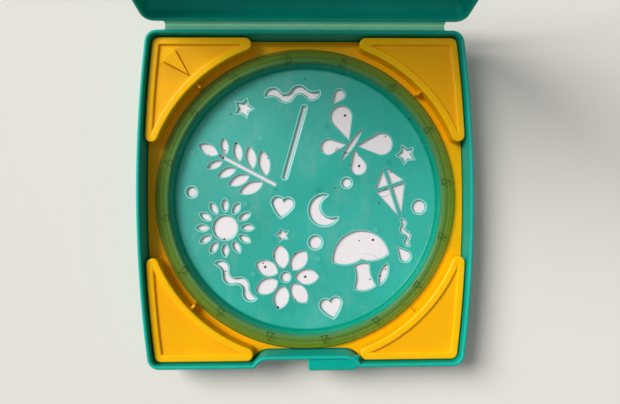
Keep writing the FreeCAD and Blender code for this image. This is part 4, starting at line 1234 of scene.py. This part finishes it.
def ended(work, geometry, material):
    """A geometry tree whose shape gets its material and goes out."""
    coated = work.node("GeometryNodeSetMaterial", Geometry=geometry, Material=material)
    work.node("NodeGroupOutput", Geometry=coated.outputs["Geometry"])
    return work.tree


def mark_tree():
    """Pointers in a ring: how many, how large, where, and their finish."""
    work, given = geometry_tree("FlangeMarks", {
        "Marks": "Int", "Ring radius": "Float", "Level": "Float", "Mark size": "Float", "Line": "Float",
        "Turn": "Float", "Finish": "Material"})
    triangle = work.node("GeometryNodeMeshCircle", Vertices=3, Radius=given["Mark size"])
    outline = work.node("GeometryNodeMeshToCurve", Mesh=triangle.outputs["Mesh"])
    pen = work.node("GeometryNodeCurvePrimitiveCircle", Resolution=8, Radius=given["Line"])
    drawn = work.node(
        "GeometryNodeCurveToMesh", Curve=outline.outputs["Curve"], Profile_Curve=pen.outputs["Curve"])
    narrow = work.node("GeometryNodeTransform", Geometry=drawn.outputs["Mesh"], Scale=(1.0, 0.66, 1.0))

    ring = work.node("GeometryNodeMeshCircle", Vertices=given["Marks"], Radius=given["Ring radius"])
    number = work.node("GeometryNodeInputIndex").outputs["Index"]
    turned = work.maths("MULTIPLY", number, work.maths("DIVIDE", 2 * math.pi, given["Marks"]))
    spread = work.node(
        "GeometryNodeInstanceOnPoints", Points=ring.outputs["Mesh"], Instance=narrow.outputs["Geometry"],
        Rotation=work.node("ShaderNodeCombineXYZ", Z=turned).outputs["Vector"])
    real = work.node("GeometryNodeRealizeInstances", Geometry=spread.outputs["Instances"])
    stand = work.node(
        "GeometryNodeTransform", Geometry=real.outputs["Geometry"],
        Translation=work.node("ShaderNodeCombineXYZ", Z=given["Level"]).outputs["Vector"],
        Rotation=work.node("ShaderNodeCombineXYZ", Z=given["Turn"]).outputs["Vector"])
    return ended(work, stand.outputs["Geometry"], given["Finish"])


def grown(name, tree, values):
    """A mesh that a node tree makes from named values."""
    thing = place(name, bpy.data.meshes.new(name))
    maker = thing.modifiers.new("Maker", "NODES")
    maker.node_group = tree
    for item in tree.interface.items_tree:
        if item.in_out == "INPUT" and item.name in values:
            maker[item.identifier] = values[item.name]
    bake(thing)
    if len(thing.data.polygons) == 0:
        raise RuntimeError(f"{name}: its node tree made nothing")
    return thing


def specks(nodes, scale, size, most):
    """Small round spots, few and far between."""
    cells = nodes.node(
        "ShaderNodeTexVoronoi", {"voronoi_dimensions": "2D"}, Vector=nodes.where, Scale=scale, Randomness=1.0)
    near = nodes.spread(cells.outputs["Distance"], size, 1.5 * size, 1.0, 0.0)
    chosen = nodes.node("ShaderNodeSeparateColor", Color=cells.outputs["Color"])
    return nodes.maths("MULTIPLY", near, nodes.maths("GREATER_THAN", chosen.outputs["Red"], 1.0 - most))


def strokes(nodes, scale, width, rare, most):
    """Thin wandering lines, in a few places."""
    away = nodes.maths("ABSOLUTE", nodes.maths("SUBTRACT", nodes.noise(scale, 1.0), 0.52), 0.0)
    thin = nodes.spread(away, width * 0.4, width, 1.0, 0.0)
    kept = nodes.spread(nodes.noise(scale * 1.4, 0.0), rare, rare + 0.04, 0.0, most)
    return nodes.maths("MULTIPLY", thin, kept)


def stencil_plastic(stencil):
    """Tinted plastic: frosted floor, dark wall with a painted darker line, clear flange with painted light at
    its inside, pale lips as painted highlights, painted shade in the cut-outs, a painted sheen, scratches,
    pen specks.
    """
    nodes = Nodes("stencil_tinted")
    flat = nodes.vectors("MULTIPLY", nodes.where, (1.0, 1.0, 0.0))["Vector"]
    radius = nodes.vectors("LENGTH", flat)["Value"]
    foot, top, collar_end = stencil.band_foot, stencil.band_top, stencil.collar_end
    # soft changes between the zones of the disc
    fine, soft = 0.0002, 0.0003
    collar_fades = (collar_end - 0.0024, collar_end + 0.001)
    collar_clears = (collar_end - 0.0012, collar_end + 0.0008)
    line = foot + stencil.band_line
    edge_line = stencil.rim_radius - stencil.edge_round
    runner = stencil.rim_radius - stencil.runner_inset
    half_runner = stencil.runner_width / 2

    def band(inner, outer, blur):
        """1 between two radii, 0 elsewhere."""
        rise = nodes.spread(radius, inner - blur, inner + blur)
        return nodes.maths("MULTIPLY", rise, nodes.spread(radius, outer - blur, outer + blur, 1.0, 0.0))

    wall = band(foot, top, soft)
    # a darker line painted round the wall, as shade of a step
    wall_line = band(line - fine, line + fine, fine)
    rim = nodes.spread(radius, edge_line, edge_line + fine)
    past_wall = nodes.spread(radius, top - fine, top + 2 * soft)
    past_collar = nodes.spread(radius, *collar_fades)
    collar = nodes.maths(
        "MULTIPLY", nodes.spread(radius, top - soft, top + soft),
        nodes.spread(radius, *collar_clears, 1.0, 0.0))
    wear_and_light_at = nodes.wear_and_light()
    # lip: painted highlight round the cut-outs, and the pale witness marks; crease: painted shade in the
    # cut-outs and along the lips, and the dark witness marks
    lip = nodes.spread(wear_and_light_at, 0.0, 1.0)
    crease = nodes.spread(wear_and_light_at, -1.0, 0.0, 1.0, 0.0)
    ink = strokes(nodes, scale=19.0, width=0.0013, rare=0.58, most=0.4)
    ink = nodes.maths("MAXIMUM", ink, specks(nodes, scale=120.0, size=0.045, most=0.05))
    ink = nodes.maths("MAXIMUM", ink, specks(nodes, scale=310.0, size=0.06, most=0.02))
    smears = nodes.spread(nodes.noise(95.0, 6.0, 0.7, (1.0, 0.45, 1.0)), 0.5, 0.72, 0.0, 0.32)
    # painted sheen, paler towards the side that faces the lamp
    side = nodes.vectors("DOT_PRODUCT", nodes.where, SHEEN_SIDE)["Value"]
    scuffs = nodes.spread(side, 0.0, foot, 0.0, stencil.sheened)

    body = nodes.blend(nodes.cloud(26.0, 3.0), linear(stencil.shade), linear(stencil.colour))
    coats = (
        (nodes.maths("ADD", smears, scuffs), linear(stencil.haze)),
        (wall, nodes.blend(wall_line, linear(stencil.wall_colour), linear(stencil.line_colour))),
        # painted light: the collar shows lit yellow over a shaded gap
        (past_wall, nodes.blend(past_collar, linear(stencil.collar_colour), linear(stencil.flange_colour))),
        (rim, linear(stencil.mark_colour)),
        (lip, linear(stencil.edge_colour)),
        (nodes.maths("MULTIPLY", crease, 0.9), linear(stencil.crease_colour)),
        (nodes.maths("MULTIPLY", ink, 0.85), linear(stencil.ink)))
    for where, tone in coats:
        body = nodes.blend(where, body, tone)

    scratch = nodes.spread(nodes.noise(900.0, 2.0, stretch=(1.0, 0.06, 1.0)), 0.64, 0.72, 0.0, 0.14)
    cross = nodes.spread(nodes.noise(900.0, 2.0, stretch=(0.06, 1.0, 1.0)), 0.66, 0.74, 0.0, 0.12)
    dull = nodes.spread(nodes.noise(60.0, 4.0), 0.3, 0.7, 0.2, 0.32)
    plastic = nodes.node(
        "ShaderNodeBsdfPrincipled", Base_Color=body, IOR=1.5, Specular_IOR_Level=0.3,
        Roughness=nodes.maths("ADD", dull, nodes.maths("ADD", scratch, cross)),
        Normal=nodes.bump(nodes.noise(45.0, 2.0), strength=0.12, distance=0.0004))
    clear = nodes.node("ShaderNodeBsdfTransparent", Color=linear(stencil.tint))
    solid = nodes.spread(radius, top, top + 2 * fine, stencil.floor_body, stencil.flange_body)
    shares = (
        (wall, stencil.wall_body), (collar, stencil.collar_body),
        (band(runner - half_runner, runner + half_runner, soft), stencil.flange_body + 0.16),
        (rim, stencil.flange_body + 0.3), (lip, stencil.wall_body + 0.1), (crease, 0.9), (ink, 0.8))
    for where, most in shares:
        solid = nodes.maths("MAXIMUM", solid, nodes.maths("MULTIPLY", where, most))
    mixed = nodes.numbered(
        "ShaderNodeMixShader", None, solid, clear.outputs["BSDF"], plastic.outputs["BSDF"])
    return nodes.surface(mixed.outputs["Shader"])


def pointer_plastic(stencil):
    """The pointers' thin raised lines, which look darker than the clear flange."""
    nodes = Nodes("pointer_lines")
    tone = nodes.blend(
        nodes.cloud(400.0, 2.0), linear(stencil.mark_colour, 0.7), linear(stencil.mark_colour))
    return nodes.principled(Base_Color=tone, Roughness=0.3)


def pin_spots(loops, wanted, radius, reach):
    """Clear places on the floor for witness marks, spread out evenly."""
    rings, turns, twist = 8, 48, 0.37
    apart, clear = reach * 0.52, radius * 1.9
    edges = [Vector(spot) for loop in loops for spot in loop]
    chosen = []
    for ring in range(1, rings + 1):
        for step in range(turns):
            turn = 2 * math.pi * (step + twist * ring) / turns
            spot = Vector((math.cos(turn), math.sin(turn))) * (reach * ring / rings)
            if any((spot - other).length < apart for other in chosen):
                continue
            if min((spot - edge).length for edge in edges) > clear:
                if not any(inside(spot, loop) for loop in loops):
                    chosen.append(spot)
                    if len(chosen) == wanted:
                        return chosen
    return chosen


def inside(spot, loop):
    hit = False
    for first, second in zip(loop, loop[1:] + loop[:1]):
        if (first[1] > spot.y) != (second[1] > spot.y):
            cross = (second[0] - first[0]) * (spot.y - first[1]) / (second[1] - first[1]) + first[0]
            if spot.x < cross:
                hit = not hit
    return hit


def disc_path(stencil, floor, join):
    """Section of the disc from the flat floor over the flange and back under it."""
    low = DISC_LOW.z
    flange_top = DISC_HIGH.z
    flange_low = flange_top - stencil.flange
    edge = stencil.rim_radius
    dish_top = edge - stencil.flange_width
    dish = dish_top - stencil.dish_lean
    ring_middle = edge - stencil.runner_inset
    ring_in = ring_middle - stencil.runner_width / 2
    ring_out = ring_middle + stencil.runner_width / 2
    ring_low = flange_low - stencil.runner_height
    bend, small, root = stencil.dish_round, stencil.small_round, stencil.root_round
    return rounded_path([
        (join, floor, 0), (dish, floor, bend), (dish_top, flange_top, bend),
        (edge, flange_top, stencil.edge_round), (edge, flange_low, small), (ring_out, flange_low, root),
        (ring_out, ring_low, small), (ring_in, ring_low, small), (ring_in, flange_low, root),
        (dish_top + stencil.dish_wall, flange_low, stencil.under_round),
        (dish + stencil.dish_wall, low, bend), (join, low, 0)])


def disc_shell(stencil, floor, join, loops):
    """The disc with its cut-outs, each with a moulded lip."""
    low = DISC_LOW.z
    under = stencil.lip_under
    shell = Shell()
    path = disc_path(stencil, floor, join)
    top_ring, low_ring = shell.stack([(circle(radius, DISC_POINTS), level) for radius, level in path])
    top_holes, low_holes = [], []
    for loop, room in zip(loops, rooms(loops, join)):
        lip = min(stencil.lip, room * LIP_ROOM)
        rings = [(widened(loop, lip * out), floor - lip * down, wear_and_light) for out, down, wear_and_light in LIP]
        cut = ((loop, floor - lip * CUT_EDGE), (loop, low + under), (widened(loop, under), low))
        upper, lower = shell.stack(rings + [(*ring, wear_and_light) for ring, wear_and_light in zip(cut, CUT_SHADE)])
        top_holes.append(upper)
        low_holes.append(lower)
    shell.fill(top_ring, *top_holes)
    shell.fill(low_ring, *low_holes)
    return shell


def pin_shell(stencil, floor, spots):
    """Low round marks on the floor, every third one dark."""
    shell = Shell()
    for number, spot in enumerate(spots):
        wear_and_light = PIN_WEAR if number % 3 else -PIN_WEAR
        shell.solid([
            (arc(spot, stencil.pin_radius * size, 0, 2 * math.pi, PIN_POINTS), floor + lift, wear_and_light)
            for size, lift in PIN_RINGS])
    return shell


class DRAWCASE_OT_stencil(bpy.types.Operator):
    """Builds the see-through stencil disc, its cut-outs, pointers and witness marks"""

    bl_idname = "drawing_case.stencil"
    bl_label = "Stencil disc"

    def execute(self, context):
        stencil = settings(context).stencil
        floor = DISC_LOW.z + stencil.floor
        join = stencil.rim_radius - stencil.flange_width - stencil.dish_lean - stencil.floor_margin
        loops = [loop if area(loop) > 0 else loop[::-1] for loop in cut_out_loops(floor)]
        clear = stencil_plastic(stencil)
        shell = disc_shell(stencil, floor, join, loops)
        disc = shade(place("stencil_disc_clear", shell.mesh("stencil_disc_clear")))
        finish(disc, clear, "stencil_plastic", "stencil", "stencil_disc")

        lines = pointer_plastic(stencil)
        marks = grown("flange_pointers", mark_tree(), {
            "Marks": stencil.mark_count, "Ring radius": stencil.mark_radius, "Level": DISC_HIGH.z,
            "Mark size": stencil.mark_size, "Line": stencil.mark_line, "Turn": stencil.mark_turn,
            "Finish": lines})
        finish(shade(marks, degrees=50), lines, "stencil_plastic", "stencil")

        spots = pin_spots(loops, stencil.pin_count, stencil.pin_radius, join - stencil.pin_margin)
        pins = pin_shell(stencil, floor, spots)
        witness = shade(place("witness_marks", pins.mesh("witness_marks")))
        finish(witness, clear, "stencil_plastic", "stencil")
        return {"FINISHED"}


def drawing_paper(paper):
    """Paper with faint fibres, specks of ink and a few stray pen strokes."""
    nodes = Nodes("drawing_paper")
    fibre = nodes.spread(nodes.noise(900.0, 4.0, 0.7, (1.0, 0.35, 1.0)), 0.35, 0.7)
    cloud = nodes.spread(nodes.noise(30.0, 2.0), 0.35, 0.65, 0.0, 0.5)
    tone = nodes.blend(nodes.maths("MULTIPLY", fibre, cloud), linear(paper.colour), linear(paper.shade))
    ink = strokes(nodes, scale=24.0, width=0.0024, rare=0.58, most=0.45)
    ink = nodes.maths("MAXIMUM", ink, specks(nodes, scale=130.0, size=0.075, most=0.12))
    ink = nodes.maths("MAXIMUM", ink, specks(nodes, scale=330.0, size=0.11, most=0.05))
    return nodes.principled(
        Base_Color=nodes.blend(ink, tone, linear(paper.ink)), Roughness=0.9,
        Normal=nodes.bump(fibre, strength=0.1, distance=0.00005))


def pad_tree():
    """A stack of sheets: how many, their size, and how far they slide about."""
    work, given = geometry_tree("SpareSheets", {
        "Sheets": "Int", "Pitch": "Vector", "Size": "Vector", "First": "Vector", "Slide": "Vector",
        "Finish": "Material"})
    heap = work.node(
        "GeometryNodeMeshLine", Count=given["Sheets"], Start_Location=given["First"], Offset=given["Pitch"])
    page = work.node("GeometryNodeMeshCube", Size=given["Size"])
    laid = work.node(
        "GeometryNodeInstanceOnPoints", Points=heap.outputs["Mesh"], Instance=page.outputs["Mesh"])
    back = work.vectors("MULTIPLY", given["Slide"], (-1.0, -1.0, -1.0))["Vector"]
    chance = work.numbered("FunctionNodeRandomValue", {"data_type": "FLOAT_VECTOR"}, back, given["Slide"])
    work.put(next(socket for socket in chance.inputs if socket.name == "Seed"), 5)
    moves = next(socket for socket in chance.outputs if socket.type == "VECTOR")
    slid = work.node(
        "GeometryNodeTranslateInstances", Instances=laid.outputs["Instances"], Translation=moves)
    real = work.node("GeometryNodeRealizeInstances", Geometry=slid.outputs["Instances"])
    return ended(work, real.outputs["Geometry"], given["Finish"])


class DRAWCASE_OT_paper(bpy.types.Operator):
    """Builds the drawing sheet and the stack of spare sheets under it"""

    bl_idname = "drawing_case.paper"
    bl_label = "Paper"

    def execute(self, context):
        paper = settings(context).paper
        stock = drawing_paper(paper)
        pitch = (PAD_HIGH.z - PAD_LOW.z) / paper.pad_sheets
        thick = pitch * paper.sheet_share
        wide = PAD_HIGH.x - PAD_LOW.x - 2 * paper.skew
        pad = grown("spare_sheets", pad_tree(), {
            "Sheets": paper.pad_sheets, "Pitch": (0, 0, pitch), "Size": (wide, wide, thick),
            "First": (0, 0, PAD_LOW.z + thick / 2), "Slide": (paper.skew, paper.skew, 0), "Finish": stock})
        finish(pad, stock, "paper", "base", "paper_pad")

        bend = paper.corner_round
        reach = SHEET_HIGH.x - bend
        outline = []
        for number, (x, y) in enumerate(CORNERS):
            turn = number * math.pi / 2
            outline += arc((x * reach, y * reach), bend, turn, turn + math.pi / 2, 6)
        shell = Shell()
        shell.solid([(outline, SHEET_LOW.z), (outline, SHEET_HIGH.z)])
        sheet = place("top_sheet", shell.mesh("top_sheet"))
        finish(sheet, stock, "paper", "base", "drawing_sheet")
        return {"FINISHED"}


class DRAWCASE_OT_stage(bpy.types.Operator):
    """Sets the floor, the lamp, the world and the camera"""

    bl_idname = "drawing_case.stage"
    bl_label = "Stage"

    def execute(self, context):
        stage = settings(context).stage
        scene = context.scene
        scene.view_settings.view_transform = "Standard"
        half = stage.floor_size / 2
        data = bpy.data.meshes.new("stage_floor")
        data.from_pydata([(x * half, y * half, 0) for x, y in CORNERS], [], [(0, 1, 2, 3)])
        floor = place("stage_floor", data)
        nodes = Nodes("stage_floor")
        mottle = nodes.spread(nodes.noise(9.0, 3.0), 0.3, 0.7, 0.94, 1.0)
        pale = nodes.blend(mottle, linear(stage.floor_colour, 0.92), linear(stage.floor_colour))
        floor.data.materials.append(nodes.principled(Base_Color=pale, Roughness=0.85))
        floor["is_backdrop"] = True

        key = bpy.data.lights.new("key_lamp", "SUN")
        key.energy = stage.key_strength
        key.angle = stage.key_spread
        lamp = place("key_lamp", key)
        lamp.location = stage.key_place
        lamp.rotation_euler = (-Vector(stage.key_place)).to_track_quat("-Z", "Y").to_euler()
        scene.world = self.sky(stage)

        view = bpy.data.cameras.new("photo_camera")
        view.sensor_width = 36.0
        view.lens = stage.lens
        view.clip_start = 0.01
        camera = place("photo_camera", view)
        turn = Euler(stage.camera_turn, "XYZ").to_matrix().transposed()
        camera.matrix_world = Matrix.Translation(stage.camera_place) @ turn.to_4x4()
        scene.camera = camera
        return {"FINISHED"}

    @staticmethod
    def sky(stage):
        """Light that is brighter overhead than along the horizon, before a plain pale background."""
        world = bpy.data.worlds.new("studio")
        world.use_nodes = True
        work = Tree(world.node_tree)
        background = work.tree.nodes["Background"]
        where = work.node("ShaderNodeTexCoord").outputs["Generated"]
        height = work.node("ShaderNodeSeparateXYZ", Vector=where).outputs["Z"]
        work.put(background.inputs["Color"], SKY_TONE)
        work.put(background.inputs["Strength"], work.spread(height, 0.0, 0.9, stage.horizon, stage.sky))
        plain = work.node("ShaderNodeBackground", Color=linear(stage.backdrop))
        rays = work.node("ShaderNodeLightPath").outputs
        seen = rays["Is Camera Ray"]
        for other in ("Is Glossy Ray", "Is Transmission Ray"):
            seen = work.maths("MAXIMUM", seen, rays[other])
        shown = work.numbered(
            "ShaderNodeMixShader", None, seen, background.outputs["Background"], plain.outputs["Background"])
        work.put(work.tree.nodes["World Output"].inputs["Surface"], shown.outputs["Shader"])
        return world


class DrawingCaseSettings(bpy.types.PropertyGroup):
    """All sizes and colours of the drawing case."""

    case: PointerProperty(type=CaseSettings)
    hinge: PointerProperty(type=HingeSettings)
    holder: PointerProperty(type=HolderSettings)
    stencil: PointerProperty(type=StencilSettings)
    paper: PointerProperty(type=PaperSettings)
    stage: PointerProperty(type=StageSettings)


PIECES = (
    DRAWCASE_OT_base, DRAWCASE_OT_lid, DRAWCASE_OT_hinge, DRAWCASE_OT_holder, DRAWCASE_OT_stencil,
    DRAWCASE_OT_paper, DRAWCASE_OT_stage,
)


class DRAWCASE_PT_pieces(bpy.types.Panel):
    """Lists the pieces of the drawing case"""

    bl_idname = "DRAWCASE_PT_pieces"
    bl_label = "Drawing case"
    bl_space_type = "VIEW_3D"
    bl_region_type = "UI"
    bl_category = "Drawing case"

    def draw(self, context):
        for piece in PIECES:
            self.layout.operator(piece.bl_idname)
        for name in DrawingCaseSettings.__annotations__:
            group = getattr(settings(context), name)
            column = self.layout.box().column()
            for item in group.__annotations__:
                column.prop(group, item)


CLASSES = (
    CaseSettings, HingeSettings, HolderSettings, StencilSettings, PaperSettings, StageSettings,
    DrawingCaseSettings, *PIECES, DRAWCASE_PT_pieces,
)


def register():
    for kind in CLASSES:
        bpy.utils.register_class(kind)
    bpy.types.Scene.drawing_case = PointerProperty(type=DrawingCaseSettings)


def unregister():
    del bpy.types.Scene.drawing_case
    for kind in reversed(CLASSES):
        bpy.utils.unregister_class(kind)


def main():
    register()
    bpy.ops.drawing_case.base()
    bpy.ops.drawing_case.lid()
    bpy.ops.drawing_case.hinge()
    bpy.ops.drawing_case.holder()
    bpy.ops.drawing_case.stencil()
    bpy.ops.drawing_case.paper()
    bpy.ops.drawing_case.stage()
    boxes = {"cad": CAD_BOUNDS, "visual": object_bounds()}
    plain = {name: [list(corner) for corner in box] for name, box in boxes.items()}


if __name__ == "__main__":
    main()
